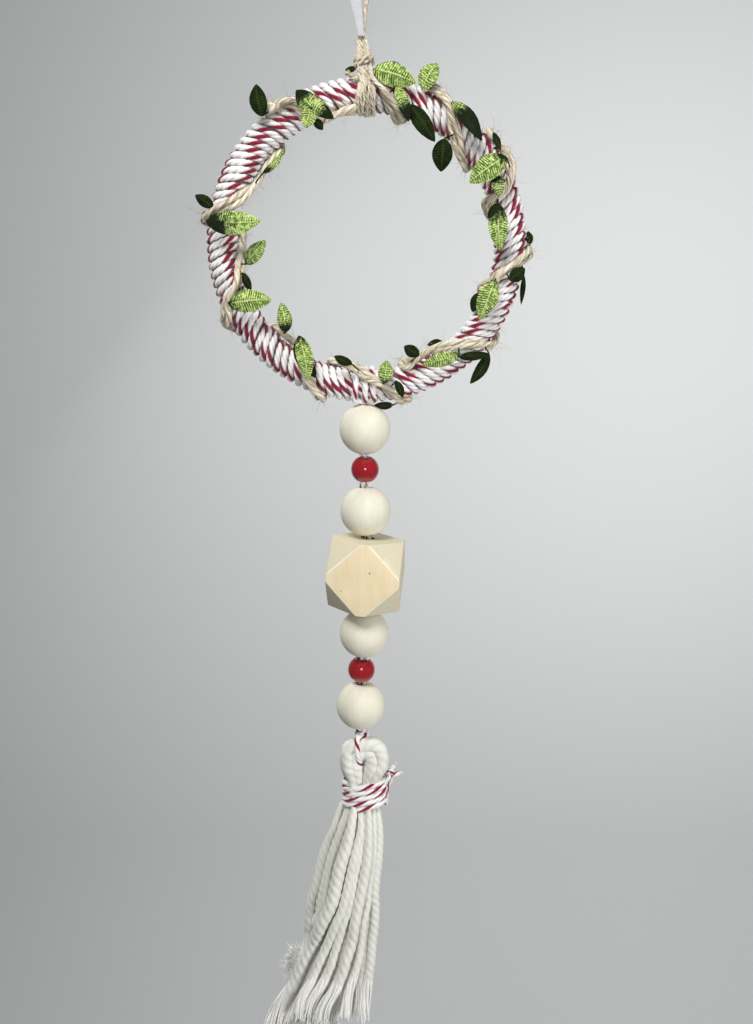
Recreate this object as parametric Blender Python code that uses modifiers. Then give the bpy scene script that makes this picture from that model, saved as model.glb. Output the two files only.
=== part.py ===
"""Wooden bead ornament: a twine wrapped ring with a jute and leaf garland, a string of beads and a tassel.

Metres, +Z up. The front faces -Y. The origin is at the inside top of the hanging loop, where a hook
or a nail carries the ornament. Everything below hangs from there.
"""

import math
from itertools import permutations, product

import bmesh
import bpy
from mathutils import Euler, Vector

MM = 0.001
GAP = 0.3 * MM

# The view that the ornament is measured in: from the front and a little above, with pixels that run
# to the right and down from its top left corner.
VIEW_DISTANCE = 380 * MM
VIEW_TILT = math.radians(9.5)
VIEW_FOCUS = 980
VIEW_MIDDLE = (376.5, 512)
VIEW_AIM = Vector((5.4, 0, -195)) * MM

# The ring's centre line is slightly wider than it is tall, as a hand bent ring is.
RING_CENTRE = Vector((1.7, 0, -94.2)) * MM
RING_HALF_WIDTH = 53.2 * MM
RING_HALF_HEIGHT = 52.3 * MM
RING_TUBE = 6.2 * MM
RING_WRAPS = 112
WRAP_GROOVE = 0.7 * MM
WRAP_SLANT = 3.4

JUTE = 1.75 * MM
# The loop's left strand up from the knot and its right strand down to it, as (across, height) in
# millimetres. Between them it turns over the hook in a half circle.
LOOP_RISE = ((-0.8, -26.5), (-0.7, -22.0), (-0.8, -16.5), (-1.5, -11.0), (-3.1, -6.4))
LOOP_FALL = ((3.4, -6.4), (2.1, -11.0), (1.4, -16.5), (1.2, -22.0), (1.3, -26.5))
LOOP_TOP_RADIUS = 3.9 * MM
# The strip's height, middle and width at each of its rows, in millimetres.
STRIP_ROWS = ((-22.4, -0.1, 2.3), (-16.0, -1.0, 3.1), (-10.0, -2.2, 4.2), (-3.5, -3.4, 4.2))
STRIP_DEPTH = -1.5 * MM
STRIP_THICKNESS = 0.35 * MM

HANGER_KNOT_CENTRE = Vector((0.9, 0, -30.3)) * MM
HANGER_KNOT_RADIUS = 3.7 * MM
HANGER_KNOT_HEIGHT = 6.6 * MM
HANGER_KNOT_GROOVE = 1.1 * MM
HANGER_KNOT_LEAN = math.radians(-7)
HANGER_STRANDS = 4
HANGER_STRAND = 1.6 * MM
HANGER_MIDDLE = 1.3 * MM
HANGER_PINCH = 0.3
HANGER_STEPS = 14
GARLAND_CORD = 3.3 * MM
GARLAND_LIFT = 8.6 * MM
GARLAND_STEPS = 6
GARLAND_SPACING = 5.8 * MM
# Where the cord passes behind the ring between two crossings, in degrees round the tube, and what
# share of the way from one crossing to the next it has gone there.
GARLAND_BEHIND = ((135, 0.25), (225, 0.75))
# The search for where a pixel meets the tube settles in this many rounds.
SEARCH_ROUNDS = 5

WOOD_BEAD = 19.5 * MM
RED_BEAD = 10.8 * MM
FACETED_WIDTH = 29.6 * MM
FACETED_HEIGHT = 28.8 * MM
FACETED_WEAR = 0.10
FACETED_TURN = (0, math.radians(4), math.radians(-5.6))
BEAD_BORE = 5.0 * MM
DOUBLED_TWINE = 3.2 * MM
STRING_KNOT = Vector((6.4, 5.0, 5.2)) * MM
STRING_KNOT_ASIDE = 0.6 * MM
# Each bead's name, kind, place across and behind the middle, and gap below what is above it, in
# millimetres, from the ring down.
BEAD_ROWS = (
    ("wood_bead_1", "wood", 1.0, 0.0, 0.4),
    ("red_bead_1", "red", 1.0, 0.0, 0.3),
    ("wood_bead_2", "wood", 1.15, 0.0, 1.2),
    ("faceted_bead", "faceted", 1.3, 0.0, 0.4),
    ("wood_bead_3", "wood", 0.6, 0.5, 0.4),
    ("red_bead_2", "red", -0.6, 1.6, 0.3),
    ("wood_bead_4", "wood", -1.0, 2.8, 0.3),
)
BEAD_HALVES = {"wood": WOOD_BEAD / 2, "red": RED_BEAD / 2, "faceted": FACETED_HEIGHT / 2}

LEAF_THICKNESS = 0.5 * MM
LEAF_FOLD = 0.14
# A leaf whose base is further than this from the cord's centre line has a stem to it.
LEAF_STEM_FROM = 2.05 * MM
HOLDS_PER_STRETCH = 4
# One leaf is tucked into the hanger's left side instead.
HANGER_LEAF_HOLD = Vector((1.0, 5.2, -37.6)) * MM

TASSEL_DEPTH = 4.0 * MM
TASSEL_LOBES = 14
TASSEL_GROOVE = 0.90
TASSEL_END_DROP = 3.0 * MM

# The garland cord's way over the front of the ring at each crossing, from the inner edge to the
# outer one, as pixels of the view, anticlockwise from the hanger.
GARLAND_RUNS = (
    ((349, 111), (333, 115), (314, 119), (299, 107), (285, 103), (271, 109)),
    ((280, 153), (268, 169), (250, 189), (233, 202), (207, 216)),
    ((243, 232), (241, 258), (236, 285), (227, 304), (226, 318)),
    ((287, 322), (298, 346), (305, 367), (311, 384), (321, 396)),
    ((334, 360), (351, 366), (368, 377), (386, 387), (398, 397), (408, 402)),
    ((405, 365), (424, 353), (450, 346), (478, 344), (497, 347)),
    ((490, 285), (499, 275), (514, 264), (528, 255)),
    ((484, 207), (496, 197), (509, 181), (510, 160), (499, 144), (491, 133)),
    ((466, 166), (458, 146), (452, 124), (447, 102), (433, 87)),
    ((402, 124), (394, 108), (387, 97), (380, 81)),
)

# Each leaf's base and tip as pixels of the view, its width, and how deep its base and tip lie,
# in millimetres behind the ring's middle plane.
LEAVES = (
    ((262, 116), (257, 84), 6.6, -9.6, -9.0),
    ((312, 107), (294, 95), 5.9, -11.4, -12.2),
    ((312, 111), (305, 128), 5.9, -13.0, -13.8),
    ((316, 105), (332, 114), 5.0, -11.4, -11.6),
    ((314, 119), (323, 130), 4.0, -10.6, -9.0),
    ((265, 171), (283, 155), 5.0, -8.6, -6.6),
    ((213, 200), (195, 194), 5.0, -8.8, -7.4),
    ((207, 222), (261, 221), 8.5, -12.4, -12.0),
    ((247, 263), (266, 241), 6.6, -4.0, -6.0),
    ((243, 275), (252, 290), 4.0, -8.0, -7.0),
    ((229, 304), (272, 300), 8.1, -11.6, -11.6),
    ((286, 330), (280, 302), 6.6, -8.0, -5.0),
    ((296, 341), (316, 378), 6.0, -10.5, -10.1),
    ((300, 336), (308, 380), 6.6, -11.8, -13.6),
    ((352, 366), (337, 354), 5.0, -11.4, -9.4),
    ((384, 383), (387, 360), 5.5, -11.6, -9.0),
    ((396, 381), (403, 398), 3.0, -11.6, -11.8),
    ((393, 405), (374, 405), 3.0, -1.0, -2.0),
    ((419, 355), (404, 346), 4.5, -11.2, -8.6),
    ((441, 335), (427, 339), 3.0, 4.4, 4.4),
    ((461, 355), (422, 365), 5.2, -11.6, -11.6),
    ((465, 351), (488, 359), 4.5, -11.8, -12.0),
    ((488, 354), (470, 383), 6.0, -9.6, -9.0),
    ((495, 280), (479, 320), 7.4, -11.6, -11.6),
    ((480, 293), (472, 312), 5.0, -4.0, -4.0),
    ((524, 276), (521, 305), 4.0, -3.0, -5.0),
    ((510, 280), (525, 268), 5.0, -11.4, -9.6),
    ((529, 243), (535, 231), 4.0, 0.0, 0.0),
    ((500, 204), (500, 251), 7.0, -11.6, -11.6),
    ((498, 204), (489, 221), 4.5, -9.2, -7.6),
    ((506, 160), (469, 183), 7.4, -11.8, -12.0),
    ((496, 179), (505, 195), 4.5, -10.8, -11.2),
    ((501, 150), (493, 132), 4.0, -9.8, -8.2),
    ((454, 102), (482, 141), 7.0, -10.0, -11.6),
    ((444, 139), (441, 172), 7.4, -8.6, -6.0),
    ((411, 106), (435, 141), 7.0, -10.2, -9.0),
    ((400, 88), (409, 118), 5.0, -12.2, -12.2),
    ((378, 72), (417, 82), 8.1, -10.2, -9.8),
    ((388, 72), (399, 63), 5.0, -2.6, -2.6),
    ((425, 88), (438, 64), 6.6, -8.4, -7.0),
    ((347, 78), (342, 67), 3.5, 6.4, 5.0),
)
# Share of a leaf's length and of its half width at each station between its base and its tip.
LEAF_OUTLINE = ((0.0, 0.22), (0.35, 1.0), (0.7, 0.72))

# The tassel's left and right edges down its length, as pixels of the view.
TASSEL_EDGES = (
    (743, 352, 375),
    (747, 347, 381),
    (760, 342, 387),
    (769, 347, 382),
    (776, 350, 378),
    (811, 350, 378),
    (819, 341, 384),
    (860, 325, 382),
    (920, 305, 379),
    (975, 283, 374),
    (1028, 262, 369),
)
TASSEL_FLATNESS = 0.72

# The binding covers the tassel's straight neck, and its knot sits at the neck's upper right.
BINDING_TOP = (364, 778)
BINDING_FOOT = (364, 808)
BINDING_NECK = ((350, 793), (378, 793))
BINDING_TURNS = 5
BINDING_STEPS = 14
BINDING_SLANT = 1.1 * MM
BINDING_TWINE = 2.6 * MM
BINDING_GROOVE = 0.8 * MM
BINDING_KNOT_PLACE = (389, 774)
BINDING_KNOT = Vector((5.0, 5.0, 4.6)) * MM


def seen_at(x, y, depth=0.0):
    """The point at this depth behind the middle plane that shows at a pixel of the view."""
    up = Vector((0, math.sin(VIEW_TILT), math.cos(VIEW_TILT)))
    forward = Vector((0, math.cos(VIEW_TILT), -math.sin(VIEW_TILT)))
    eye = VIEW_AIM - forward * VIEW_DISTANCE
    ray = forward + up * (VIEW_MIDDLE[1] - y) / VIEW_FOCUS
    ray.x += (x - VIEW_MIDDLE[0]) / VIEW_FOCUS
    return eye + ray * (depth - eye.y) / ray.y


def ring_point(clock, around, lift):
    """A point lift away from the ring's centre line.

    clock runs clockwise from the top as seen from the front, and around runs round the tube, with
    0 in front, 90 outside, 180 behind and 270 inside.
    """
    turn, roll = math.radians(clock), math.radians(around)
    out = Vector((math.sin(turn), 0, math.cos(turn)))
    middle = RING_CENTRE + Vector((out.x * RING_HALF_WIDTH, 0, out.z * RING_HALF_HEIGHT))
    return middle + out * lift * math.sin(roll) - Vector((0, lift * math.cos(roll), 0))


def clock_of(point):
    """Degrees clockwise from the ring's top, as seen from the front."""
    offset = point - RING_CENTRE
    return math.degrees(math.atan2(offset.x / RING_HALF_WIDTH, offset.z / RING_HALF_HEIGHT))


def spline(points, steps):
    """A smooth row of values or vectors through the given ones, with this many steps between them."""
    padded = [2 * points[0] - points[1], *points, 2 * points[-1] - points[-2]]
    row = []
    for a, b, c, d in zip(padded, padded[1:], padded[2:], padded[3:]):
        for step in range(steps):
            t = step / steps
            rise = (c - a) * t
            bend = (2 * a - 5 * b + 4 * c - d) * t**2
            twist = (3 * b - a - 3 * c + d) * t**3
            row.append((2 * b + rise + bend + twist) / 2)
    return row + [points[-1]]


def clear_scene():
    for old in list(bpy.data.objects):
        bpy.data.objects.remove(old, do_unlink=True)


def collection(name):
    made = bpy.data.collections.new(name)
    bpy.context.scene.collection.children.link(made)
    return made


def material(name, colour, roughness):
    made = bpy.data.materials.new(name)
    made.use_nodes = True
    shader = made.node_tree.nodes["Principled BSDF"]
    shader.inputs["Base Color"].default_value = (*colour, 1)
    shader.inputs["Roughness"].default_value = roughness
    made.diffuse_color = (*colour, 1)
    return made


def put(name, data, finish, where):
    """Links a new object with its material to a collection."""
    made = bpy.data.objects.new(name, data)
    data.materials.append(finish)
    where.objects.link(made)
    return made


def from_bmesh(name, bm, finish, where, sharp=35):
    bmesh.ops.recalc_face_normals(bm, faces=bm.faces)
    mesh = bpy.data.meshes.new(name)
    bm.to_mesh(mesh)
    bm.free()
    mesh.shade_smooth()
    mesh.set_sharp_from_angle(angle=math.radians(sharp))
    return put(name, mesh, finish, where)


def tube(name, points, diameter, finish, where):
    """A round cord along the points."""
    curve = bpy.data.curves.new(name, "CURVE")
    curve.dimensions = "3D"
    curve.bevel_depth = diameter / 2
    curve.bevel_resolution = 2
    curve.use_fill_caps = True
    line = curve.splines.new("POLY")
    line.points.add(len(points) - 1)
    for point, place in zip(line.points, points):
        point.co = (*place, 1)
    return put(name, curve, finish, where)


def loft(name, sections, finish, where, joined=False):
    """A skin over rings of points. joined closes it end to end, and otherwise both ends are capped."""
    bm = bmesh.new()
    rings = [[bm.verts.new(point) for point in section] for section in sections]
    pairs = list(zip(rings, rings[1:]))
    if joined:
        pairs.append((rings[-1], rings[0]))
    for first, second in pairs:
        for i in range(len(first)):
            j = (i + 1) % len(first)
            bm.faces.new((first[i], first[j], second[j], second[i]))
    for end in () if joined else (rings[0], rings[-1]):
        middle = bm.verts.new(sum((vert.co for vert in end), Vector()) / len(end))
        for i in range(len(end)):
            bm.faces.new((end[i], end[(i + 1) % len(end)], middle))
    return from_bmesh(name, bm, finish, where)


def turned(name, profile, steps, centre, finish, where):
    """A profile of (radius, height) turned about the vertical through centre, top to bottom outside."""
    mesh = bpy.data.meshes.new(name)
    closed = min(radius for radius, _ in profile) > 0
    count = len(profile)
    edges = [(i, (i + 1) % count) for i in range(count if closed else count - 1)]
    mesh.from_pydata([(radius, 0, height) for radius, height in profile], edges, [])
    made = put(name, mesh, finish, where)
    made.location = centre
    screw = made.modifiers.new("Turn", "SCREW")
    screw.steps = screw.render_steps = steps
    screw.use_merge_vertices = True
    screw.merge_threshold = 0.01 * MM
    screw.use_smooth_shade = True
    return made


def wrapped_ring(finish, where):
    """The ring with its twine turns as slanted ridges round the tube."""
    bpy.ops.mesh.primitive_torus_add(
        major_segments=2 * RING_WRAPS,
        minor_segments=7,
        major_radius=RING_HALF_WIDTH,
        minor_radius=RING_TUBE,
    )
    ring = bpy.context.object
    ring.name = "twine_wrapped_ring"
    for old in list(ring.users_collection):
        old.objects.unlink(ring)
    where.objects.link(ring)
    step = 180 / RING_WRAPS
    for vert in ring.data.vertices:
        clock = math.degrees(math.atan2(vert.co.x, vert.co.y))
        inward = math.hypot(vert.co.x, vert.co.y) - RING_HALF_WIDTH
        around = math.degrees(math.atan2(inward, vert.co.z))
        ridge = round(clock / step) % 2
        slanted = clock - WRAP_SLANT * math.sin(math.radians(around))
        vert.co = ring_point(slanted, around, RING_TUBE - WRAP_GROOVE * ridge)
    ring.data.materials.append(finish)
    bm = bmesh.new()
    bm.from_mesh(ring.data)
    bmesh.ops.recalc_face_normals(bm, faces=bm.faces)
    bm.to_mesh(ring.data)
    bm.free()
    ring.data.shade_smooth()


def on_ring(x, y, lift):
    """Where a pixel of the view meets this lift from the ring's centre line: its clock and around."""
    depth = -lift
    for _ in range(SEARCH_ROUNDS):
        point = seen_at(x, y, depth)
        clock = clock_of(point)
        out = ring_point(clock, 90, 1.0) - ring_point(clock, 90, 0.0)
        outward = (point - ring_point(clock, 90, 0.0)).dot(out)
        depth = -math.sqrt(max(lift**2 - outward**2, 0.0))
    return clock, math.degrees(math.atan2(outward, -depth))


def garland_route():
    """The cord's centre line: it crosses the front along the runs, and passes behind between them."""
    marks = []
    for lap, run in enumerate(GARLAND_RUNS):
        row = []
        for pixel in run:
            clock, around = on_ring(*pixel, GARLAND_LIFT)
            if marks and clock > marks[-1].x + 180:
                clock -= 360
            row.append(Vector((clock, around + 360 * lap)))
        if marks:
            last = marks[-1].x
            for around, share in GARLAND_BEHIND:
                clock = last + (row[0].x - last) * share
                marks.append(Vector((clock, around + 360 * (lap - 1))))
        marks += row
    places = [ring_point(clock, around, GARLAND_LIFT) for clock, around in spline(marks, GARLAND_STEPS)]
    points = places[:1]
    for place in places[1:]:
        if (place - points[-1]).length > GARLAND_SPACING:
            points.append(place)
    points[-1] = places[-1]
    return points


def leaf_holds(cord):
    """Where a leaf can be fixed: closely along the garland cord, and at the hanger's left side."""
    row = []
    for a, b in zip(cord, cord[1:]):
        row += [a.lerp(b, i / HOLDS_PER_STRETCH) for i in range(HOLDS_PER_STRETCH)]
    return [*row, cord[-1], HANGER_LEAF_HOLD]


def leaf(index, row, holds, finish, where):
    """A pointed, slightly folded leaf, with a stem to what holds it where its base is off it."""
    base_pixel, tip_pixel, width, base_depth, tip_depth = row
    base = seen_at(*base_pixel, base_depth * MM)
    tip = seen_at(*tip_pixel, tip_depth * MM)
    near = min(holds, key=lambda point: (point - base).length)
    reach = base - near
    root = near + reach.normalized() * (GARLAND_CORD / 2 + GAP)
    along = tip - base
    side = along.cross(Vector((0, -1, 0))).normalized() * width * MM / 2
    fold = side.cross(along).normalized() * width * MM * LEAF_FOLD
    bm = bmesh.new()
    rows = [[bm.verts.new(root)]] if reach.length > LEAF_STEM_FROM else []
    for share, half in LEAF_OUTLINE:
        middle = base + along * share
        edges = (middle - side * half, middle + fold * half, middle + side * half)
        rows.append([bm.verts.new(point) for point in edges])
    rows.append([bm.verts.new(tip)])
    for first, second in zip(rows, rows[1:]):
        if len(first) == 1:
            bm.faces.new((first[0], second[1], second[0]))
            bm.faces.new((first[0], second[2], second[1]))
        elif len(second) == 1:
            bm.faces.new((first[0], first[1], second[0]))
            bm.faces.new((first[1], first[2], second[0]))
        else:
            bm.faces.new((first[0], first[1], second[1], second[0]))
            bm.faces.new((first[1], first[2], second[2], second[1]))
    made = from_bmesh(f"leaf_{index:02d}", bm, finish, where)
    shell = made.modifiers.new("Thickness", "SOLIDIFY")
    shell.thickness = LEAF_THICKNESS
    shell.offset = 0


def hanging_loop(finish, where):
    """One jute twine that rises from the knot, turns over the hook and comes back."""
    top = JUTE / 2 - LOOP_TOP_RADIUS
    bow = []
    for degrees in range(180, -1, -36):
        angle = math.radians(degrees)
        bow.append((math.cos(angle) * LOOP_TOP_RADIUS, top + math.sin(angle) * LOOP_TOP_RADIUS))
    places = [Vector((x, 0, z)) * MM for x, z in LOOP_RISE]
    places += [Vector((x, 0, z)) for x, z in bow]
    places += [Vector((x, 0, z)) * MM for x, z in LOOP_FALL]
    tube("hanging_loop", spline(places, 2), JUTE, finish, where)


def label_strip(finish, where):
    """A narrow bare strip that lies along the front of the loop's left strand."""
    bm = bmesh.new()
    pairs = []
    for height, middle, width in STRIP_ROWS:
        left = bm.verts.new(((middle - width / 2) * MM, STRIP_DEPTH, height * MM))
        right = bm.verts.new(((middle + width / 2) * MM, STRIP_DEPTH, height * MM))
        pairs.append((left, right))
    for (a, b), (c, d) in zip(pairs, pairs[1:]):
        bm.faces.new((a, b, d, c))
    strip = from_bmesh("label_strip", bm, finish, where)
    shell = strip.modifiers.new("Thickness", "SOLIDIFY")
    shell.thickness = STRIP_THICKNESS
    shell.offset = 0


def bulged(radius, top, bottom, bulges, depth):
    """A (radius, height) row down the outside of stacked turns of cord."""
    step = (top - bottom) / bulges
    row = []
    for i in range(bulges):
        row.append((radius - depth, top - i * step))
        row.append((radius, top - (i + 0.25) * step))
        row.append((radius, top - (i + 0.75) * step))
    return row + [(radius - depth, bottom)]


def hanger_knot(finish, where):
    """Two turns of jute round the strands just above the ring."""
    half = HANGER_KNOT_HEIGHT / 2
    side = half - 0.4 * MM
    turns = bulged(HANGER_KNOT_RADIUS, side, -side, 2, HANGER_KNOT_GROOVE)
    profile = [(0, half), *turns, (0, -half)]
    knot = turned("hanger_knot", profile, 12, HANGER_KNOT_CENTRE, finish, where)
    knot.scale = (1, 0.9, 1)
    knot.rotation_euler = (0, HANGER_KNOT_LEAN, 0)


def hanger_wrap(finish, where):
    """Jute strands side by side, from the knot down round the ring and back up behind it."""
    ring_top = RING_CENTRE.z + RING_HALF_HEIGHT
    inner = RING_TUBE + GAP
    width = HANGER_STRANDS * HANGER_STRAND
    skin = []
    for i in range(2 * HANGER_STRANDS + 1):
        skin.append((i / (2 * HANGER_STRANDS) - 0.5, JUTE if i % 2 else 0.7 * JUTE))
    skin += [(0.5, 0), (0, 0), (-0.5, 0)]
    sections = []
    for i in range(HANGER_STEPS):
        angle = 2 * math.pi * (i + 0.5) / HANGER_STEPS
        pull = max(0.0, (math.cos(angle) - 0.3) / 0.7)
        section = []
        for share, thick in skin:
            reach = inner + thick * (1 - HANGER_PINCH * pull)
            x = HANGER_MIDDLE + share * width * (1 - HANGER_PINCH * pull)
            section.append(Vector((x, reach * math.sin(angle), ring_top + reach * math.cos(angle))))
        sections.append(section)
    loft("hanger_wrap", sections, finish, where, joined=True)


def round_bead(name, diameter, steps, arcs, centre, finish, where):
    """A turned bead with a bore down its middle."""
    bore = BEAD_BORE / 2
    radius = diameter / 2
    start = math.asin(bore / radius)
    profile = []
    for i in range(arcs + 1):
        angle = start + (math.pi - 2 * start) * i / arcs
        profile.append((radius * math.sin(angle), radius * math.cos(angle)))
    turned(name, profile, steps, centre, finish, where)


def faceted_bead(centre, finish, where, cutters):
    """A cuboctahedron, as a cube cut back to the middles of its edges, with slightly worn corners."""
    corners = set()
    for a, b in product((-1, 1), repeat=2):
        corners |= set(permutations((a, b, 0)))
    corners = [Vector(corner) for corner in sorted(corners)]
    bm = bmesh.new()
    for corner in corners:
        for other in corners:
            if abs((other - corner).length - math.sqrt(2)) < 0.01:
                bm.verts.new(corner.lerp(other, FACETED_WEAR))
    half = Vector((FACETED_WIDTH, FACETED_WIDTH, FACETED_HEIGHT)) / 2
    bmesh.ops.scale(bm, vec=half, verts=bm.verts)
    bmesh.ops.convex_hull(bm, input=bm.verts)
    bmesh.ops.dissolve_limit(bm, angle_limit=math.radians(1), verts=bm.verts, edges=bm.edges)
    bead = from_bmesh("faceted_bead", bm, finish, where, sharp=20)
    bead.location = centre
    bead.rotation_euler = FACETED_TURN
    bpy.ops.mesh.primitive_cylinder_add(vertices=12, radius=BEAD_BORE / 2, depth=2 * FACETED_HEIGHT)
    bore = bpy.context.object
    bore.name = "faceted_bead_bore"
    bore.location = centre
    bore.rotation_euler = FACETED_TURN
    for old in list(bore.users_collection):
        old.objects.unlink(bore)
    cutters.objects.link(bore)
    bore.hide_render = True
    bore.display_type = "WIRE"
    cut = bead.modifiers.new("Bore", "BOOLEAN")
    cut.operation = "DIFFERENCE"
    cut.solver = "EXACT"
    cut.object = bore


def bead_chain():
    """Each bead's name, kind and centre, stacked down from the ring."""
    place = Vector((BEAD_ROWS[0][2] * MM, 0, RING_CENTRE.z - RING_HALF_HEIGHT - RING_TUBE))
    last = 0.0
    chain = []
    for name, kind, x, y, gap in BEAD_ROWS:
        aside = Vector((x * MM - place.x, y * MM - place.y, 0))
        span = last + BEAD_HALVES[kind] + gap * MM
        down = math.sqrt(span**2 - aside.length_squared)
        place = place + aside - Vector((0, 0, down))
        chain.append((name, kind, place))
        last = BEAD_HALVES[kind]
    return chain


def string_route(chain):
    """Straight down each bead's bore, from the ring's underside to just below the last bead."""
    points = []
    for _, kind, centre in chain:
        reach = Vector((0, 0, 0.93 * BEAD_HALVES[kind]))
        if kind == "faceted":
            reach.rotate(Euler(FACETED_TURN))
        points += [centre + reach, centre, centre - reach]
    above, below = Vector((0, 0, 0.5 * MM)), Vector((0, 0, 0.9 * MM))
    return [points[0] + above, *points[1:-1], points[-1] - below]


def tassel(finish, where):
    """Cords folded over at the head, gathered at the neck and spread in a skirt, fused into one body."""
    count = 2 * TASSEL_LOBES
    lowest = TASSEL_EDGES[-1][0]
    sections = []
    for y, left, right in TASSEL_EDGES:
        west = seen_at(left, y, TASSEL_DEPTH)
        east = seen_at(right, y, TASSEL_DEPTH)
        centre, half = (west + east) / 2, (east - west).length / 2
        section = []
        for i in range(count):
            angle = 2 * math.pi * i / count
            groove = TASSEL_GROOVE if i % 2 else 1.0
            depth = -half * TASSEL_FLATNESS * math.sin(angle) * groove
            drop = TASSEL_END_DROP * math.sin(2.4 * (i // 2) + 0.7) if y == lowest else 0.0
            section.append(centre + Vector((half * math.cos(angle) * groove, depth, drop)))
        sections.append(section)
    loft("tassel_cords", sections, finish, where)


def tassel_binding(finish, where):
    """Slanted turns of twine round the tassel's neck."""
    high = seen_at(*BINDING_TOP, TASSEL_DEPTH)
    top = high.z - BINDING_SLANT
    foot = seen_at(*BINDING_FOOT, TASSEL_DEPTH).z + BINDING_SLANT
    west, east = (seen_at(*edge, TASSEL_DEPTH) for edge in BINDING_NECK)
    inner = (east - west).length / 2 + GAP
    profile = bulged(inner + BINDING_TWINE, top, foot, BINDING_TURNS, BINDING_GROOVE)
    profile += [(inner, foot), (inner, top)]
    flat = inner * (TASSEL_FLATNESS - 1)
    sections = []
    for i in range(BINDING_STEPS):
        angle = 2 * math.pi * i / BINDING_STEPS
        lean = BINDING_SLANT * math.cos(angle)
        section = []
        for radius, height in profile:
            x = high.x + math.cos(angle) * radius
            y = high.y + math.sin(angle) * (radius + flat)
            section.append(Vector((x, y, height + lean)))
        sections.append(section)
    loft("tassel_binding", sections, finish, where, joined=True)


def small_knot(name, centre, sizes, finish, where):
    """A lump where twine is tied, as a squashed ball."""
    bm = bmesh.new()
    bmesh.ops.create_icosphere(bm, subdivisions=2, radius=1)
    bmesh.ops.scale(bm, vec=sizes / 2, verts=bm.verts)
    bmesh.ops.translate(bm, vec=centre, verts=bm.verts)
    from_bmesh(name, bm, finish, where)


def main():
    clear_scene()
    parts = collection("wooden_bead_ornament")
    cutters = collection("cutters")
    jute = material("jute", (0.46, 0.35, 0.20), 0.9)
    twine = material("red_white_twine", (0.78, 0.52, 0.52), 0.85)
    cotton = material("white_cotton", (0.78, 0.77, 0.70), 0.9)
    green = material("leaf_satin", (0.20, 0.38, 0.07), 0.45)
    wood = material("bare_wood", (0.80, 0.70, 0.52), 0.6)
    red = material("red_lacquer", (0.45, 0.01, 0.03), 0.15)
    paper = material("bare_label", (0.85, 0.85, 0.85), 0.6)

    wrapped_ring(twine, parts)
    cord = garland_route()
    tube("jute_garland_cord", cord, GARLAND_CORD, jute, parts)
    holds = leaf_holds(cord)
    for index, row in enumerate(LEAVES, 1):
        leaf(index, row, holds, green, parts)

    hanging_loop(jute, parts)
    label_strip(paper, parts)
    hanger_knot(jute, parts)
    hanger_wrap(jute, parts)

    chain = bead_chain()
    for name, kind, centre in chain:
        if kind == "wood":
            round_bead(name, WOOD_BEAD, 16, 8, centre, wood, parts)
        elif kind == "red":
            round_bead(name, RED_BEAD, 14, 6, centre, red, parts)
        else:
            faceted_bead(centre, wood, parts, cutters)
    string = string_route(chain)
    tube("bead_string", string, DOUBLED_TWINE, twine, parts)

    knot = string[-1] + Vector((STRING_KNOT_ASIDE, 0, -GAP - STRING_KNOT.z / 2))
    small_knot("string_knot", knot, STRING_KNOT, twine, parts)
    tassel(cotton, parts)
    tassel_binding(twine, parts)
    tie = seen_at(*BINDING_KNOT_PLACE, TASSEL_DEPTH)
    small_knot("binding_knot", tie, BINDING_KNOT, twine, parts)


main()
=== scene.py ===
"""The looks of a hanging ornament: twine wrapped ring, jute and leaf garland, beads and a cotton tassel.

Metres, +Z up, the front faces -Y, and the origin is at the inside top of the hanging loop. Most pieces
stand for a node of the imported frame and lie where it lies. The others are loose fibres on them.
"""

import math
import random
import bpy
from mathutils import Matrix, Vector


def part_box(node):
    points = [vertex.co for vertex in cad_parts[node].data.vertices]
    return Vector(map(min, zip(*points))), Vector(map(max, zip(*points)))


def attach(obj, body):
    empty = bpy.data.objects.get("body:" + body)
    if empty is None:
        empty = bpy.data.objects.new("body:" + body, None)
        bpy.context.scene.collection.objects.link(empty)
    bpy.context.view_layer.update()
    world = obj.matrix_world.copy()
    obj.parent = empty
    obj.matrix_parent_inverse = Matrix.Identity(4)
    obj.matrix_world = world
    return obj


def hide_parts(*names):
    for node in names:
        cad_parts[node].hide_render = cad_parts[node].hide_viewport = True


bl_info = {
    "name": "Wooden bead ornament",
    "version": (1, 0, 0),
    "blender": (4, 5, 0),
    "location": "View3D > Sidebar > Ornament",
    "description": "Makes the ornament's twine, jute, leaves, beads and tassel around its packed frame",
    "category": "Add Mesh",
}

import bpy
import numpy as np
from bpy.props import FloatProperty, FloatVectorProperty, IntProperty, PointerProperty
from mathutils import Vector

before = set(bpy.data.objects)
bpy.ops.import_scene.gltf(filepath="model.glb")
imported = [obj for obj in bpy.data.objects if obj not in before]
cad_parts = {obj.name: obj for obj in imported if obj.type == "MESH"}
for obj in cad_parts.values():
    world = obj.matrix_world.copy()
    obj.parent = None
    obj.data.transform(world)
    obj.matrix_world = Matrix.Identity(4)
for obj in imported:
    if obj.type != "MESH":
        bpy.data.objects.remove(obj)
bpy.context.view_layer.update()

MM = 0.001

# The view that the ornament is measured in, with pixels that run right and down from its top left.
VIEW_DISTANCE = 380 * MM
VIEW_TILT = math.radians(9.5)
VIEW_FOCUS = 980
VIEW_SIZE = (753, 1024)
VIEW_MIDDLE = (376.5, 512)
VIEW_AIM = Vector((5.4, 0, -195)) * MM
VIEW_UP = Vector((0, math.sin(VIEW_TILT), math.cos(VIEW_TILT)))
VIEW_FORWARD = Vector((0, math.cos(VIEW_TILT), -math.sin(VIEW_TILT)))
VIEW_EYE = VIEW_AIM - VIEW_FORWARD * VIEW_DISTANCE
VIEW_NEAR = 5 * MM
SENSOR = 36.0

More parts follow.
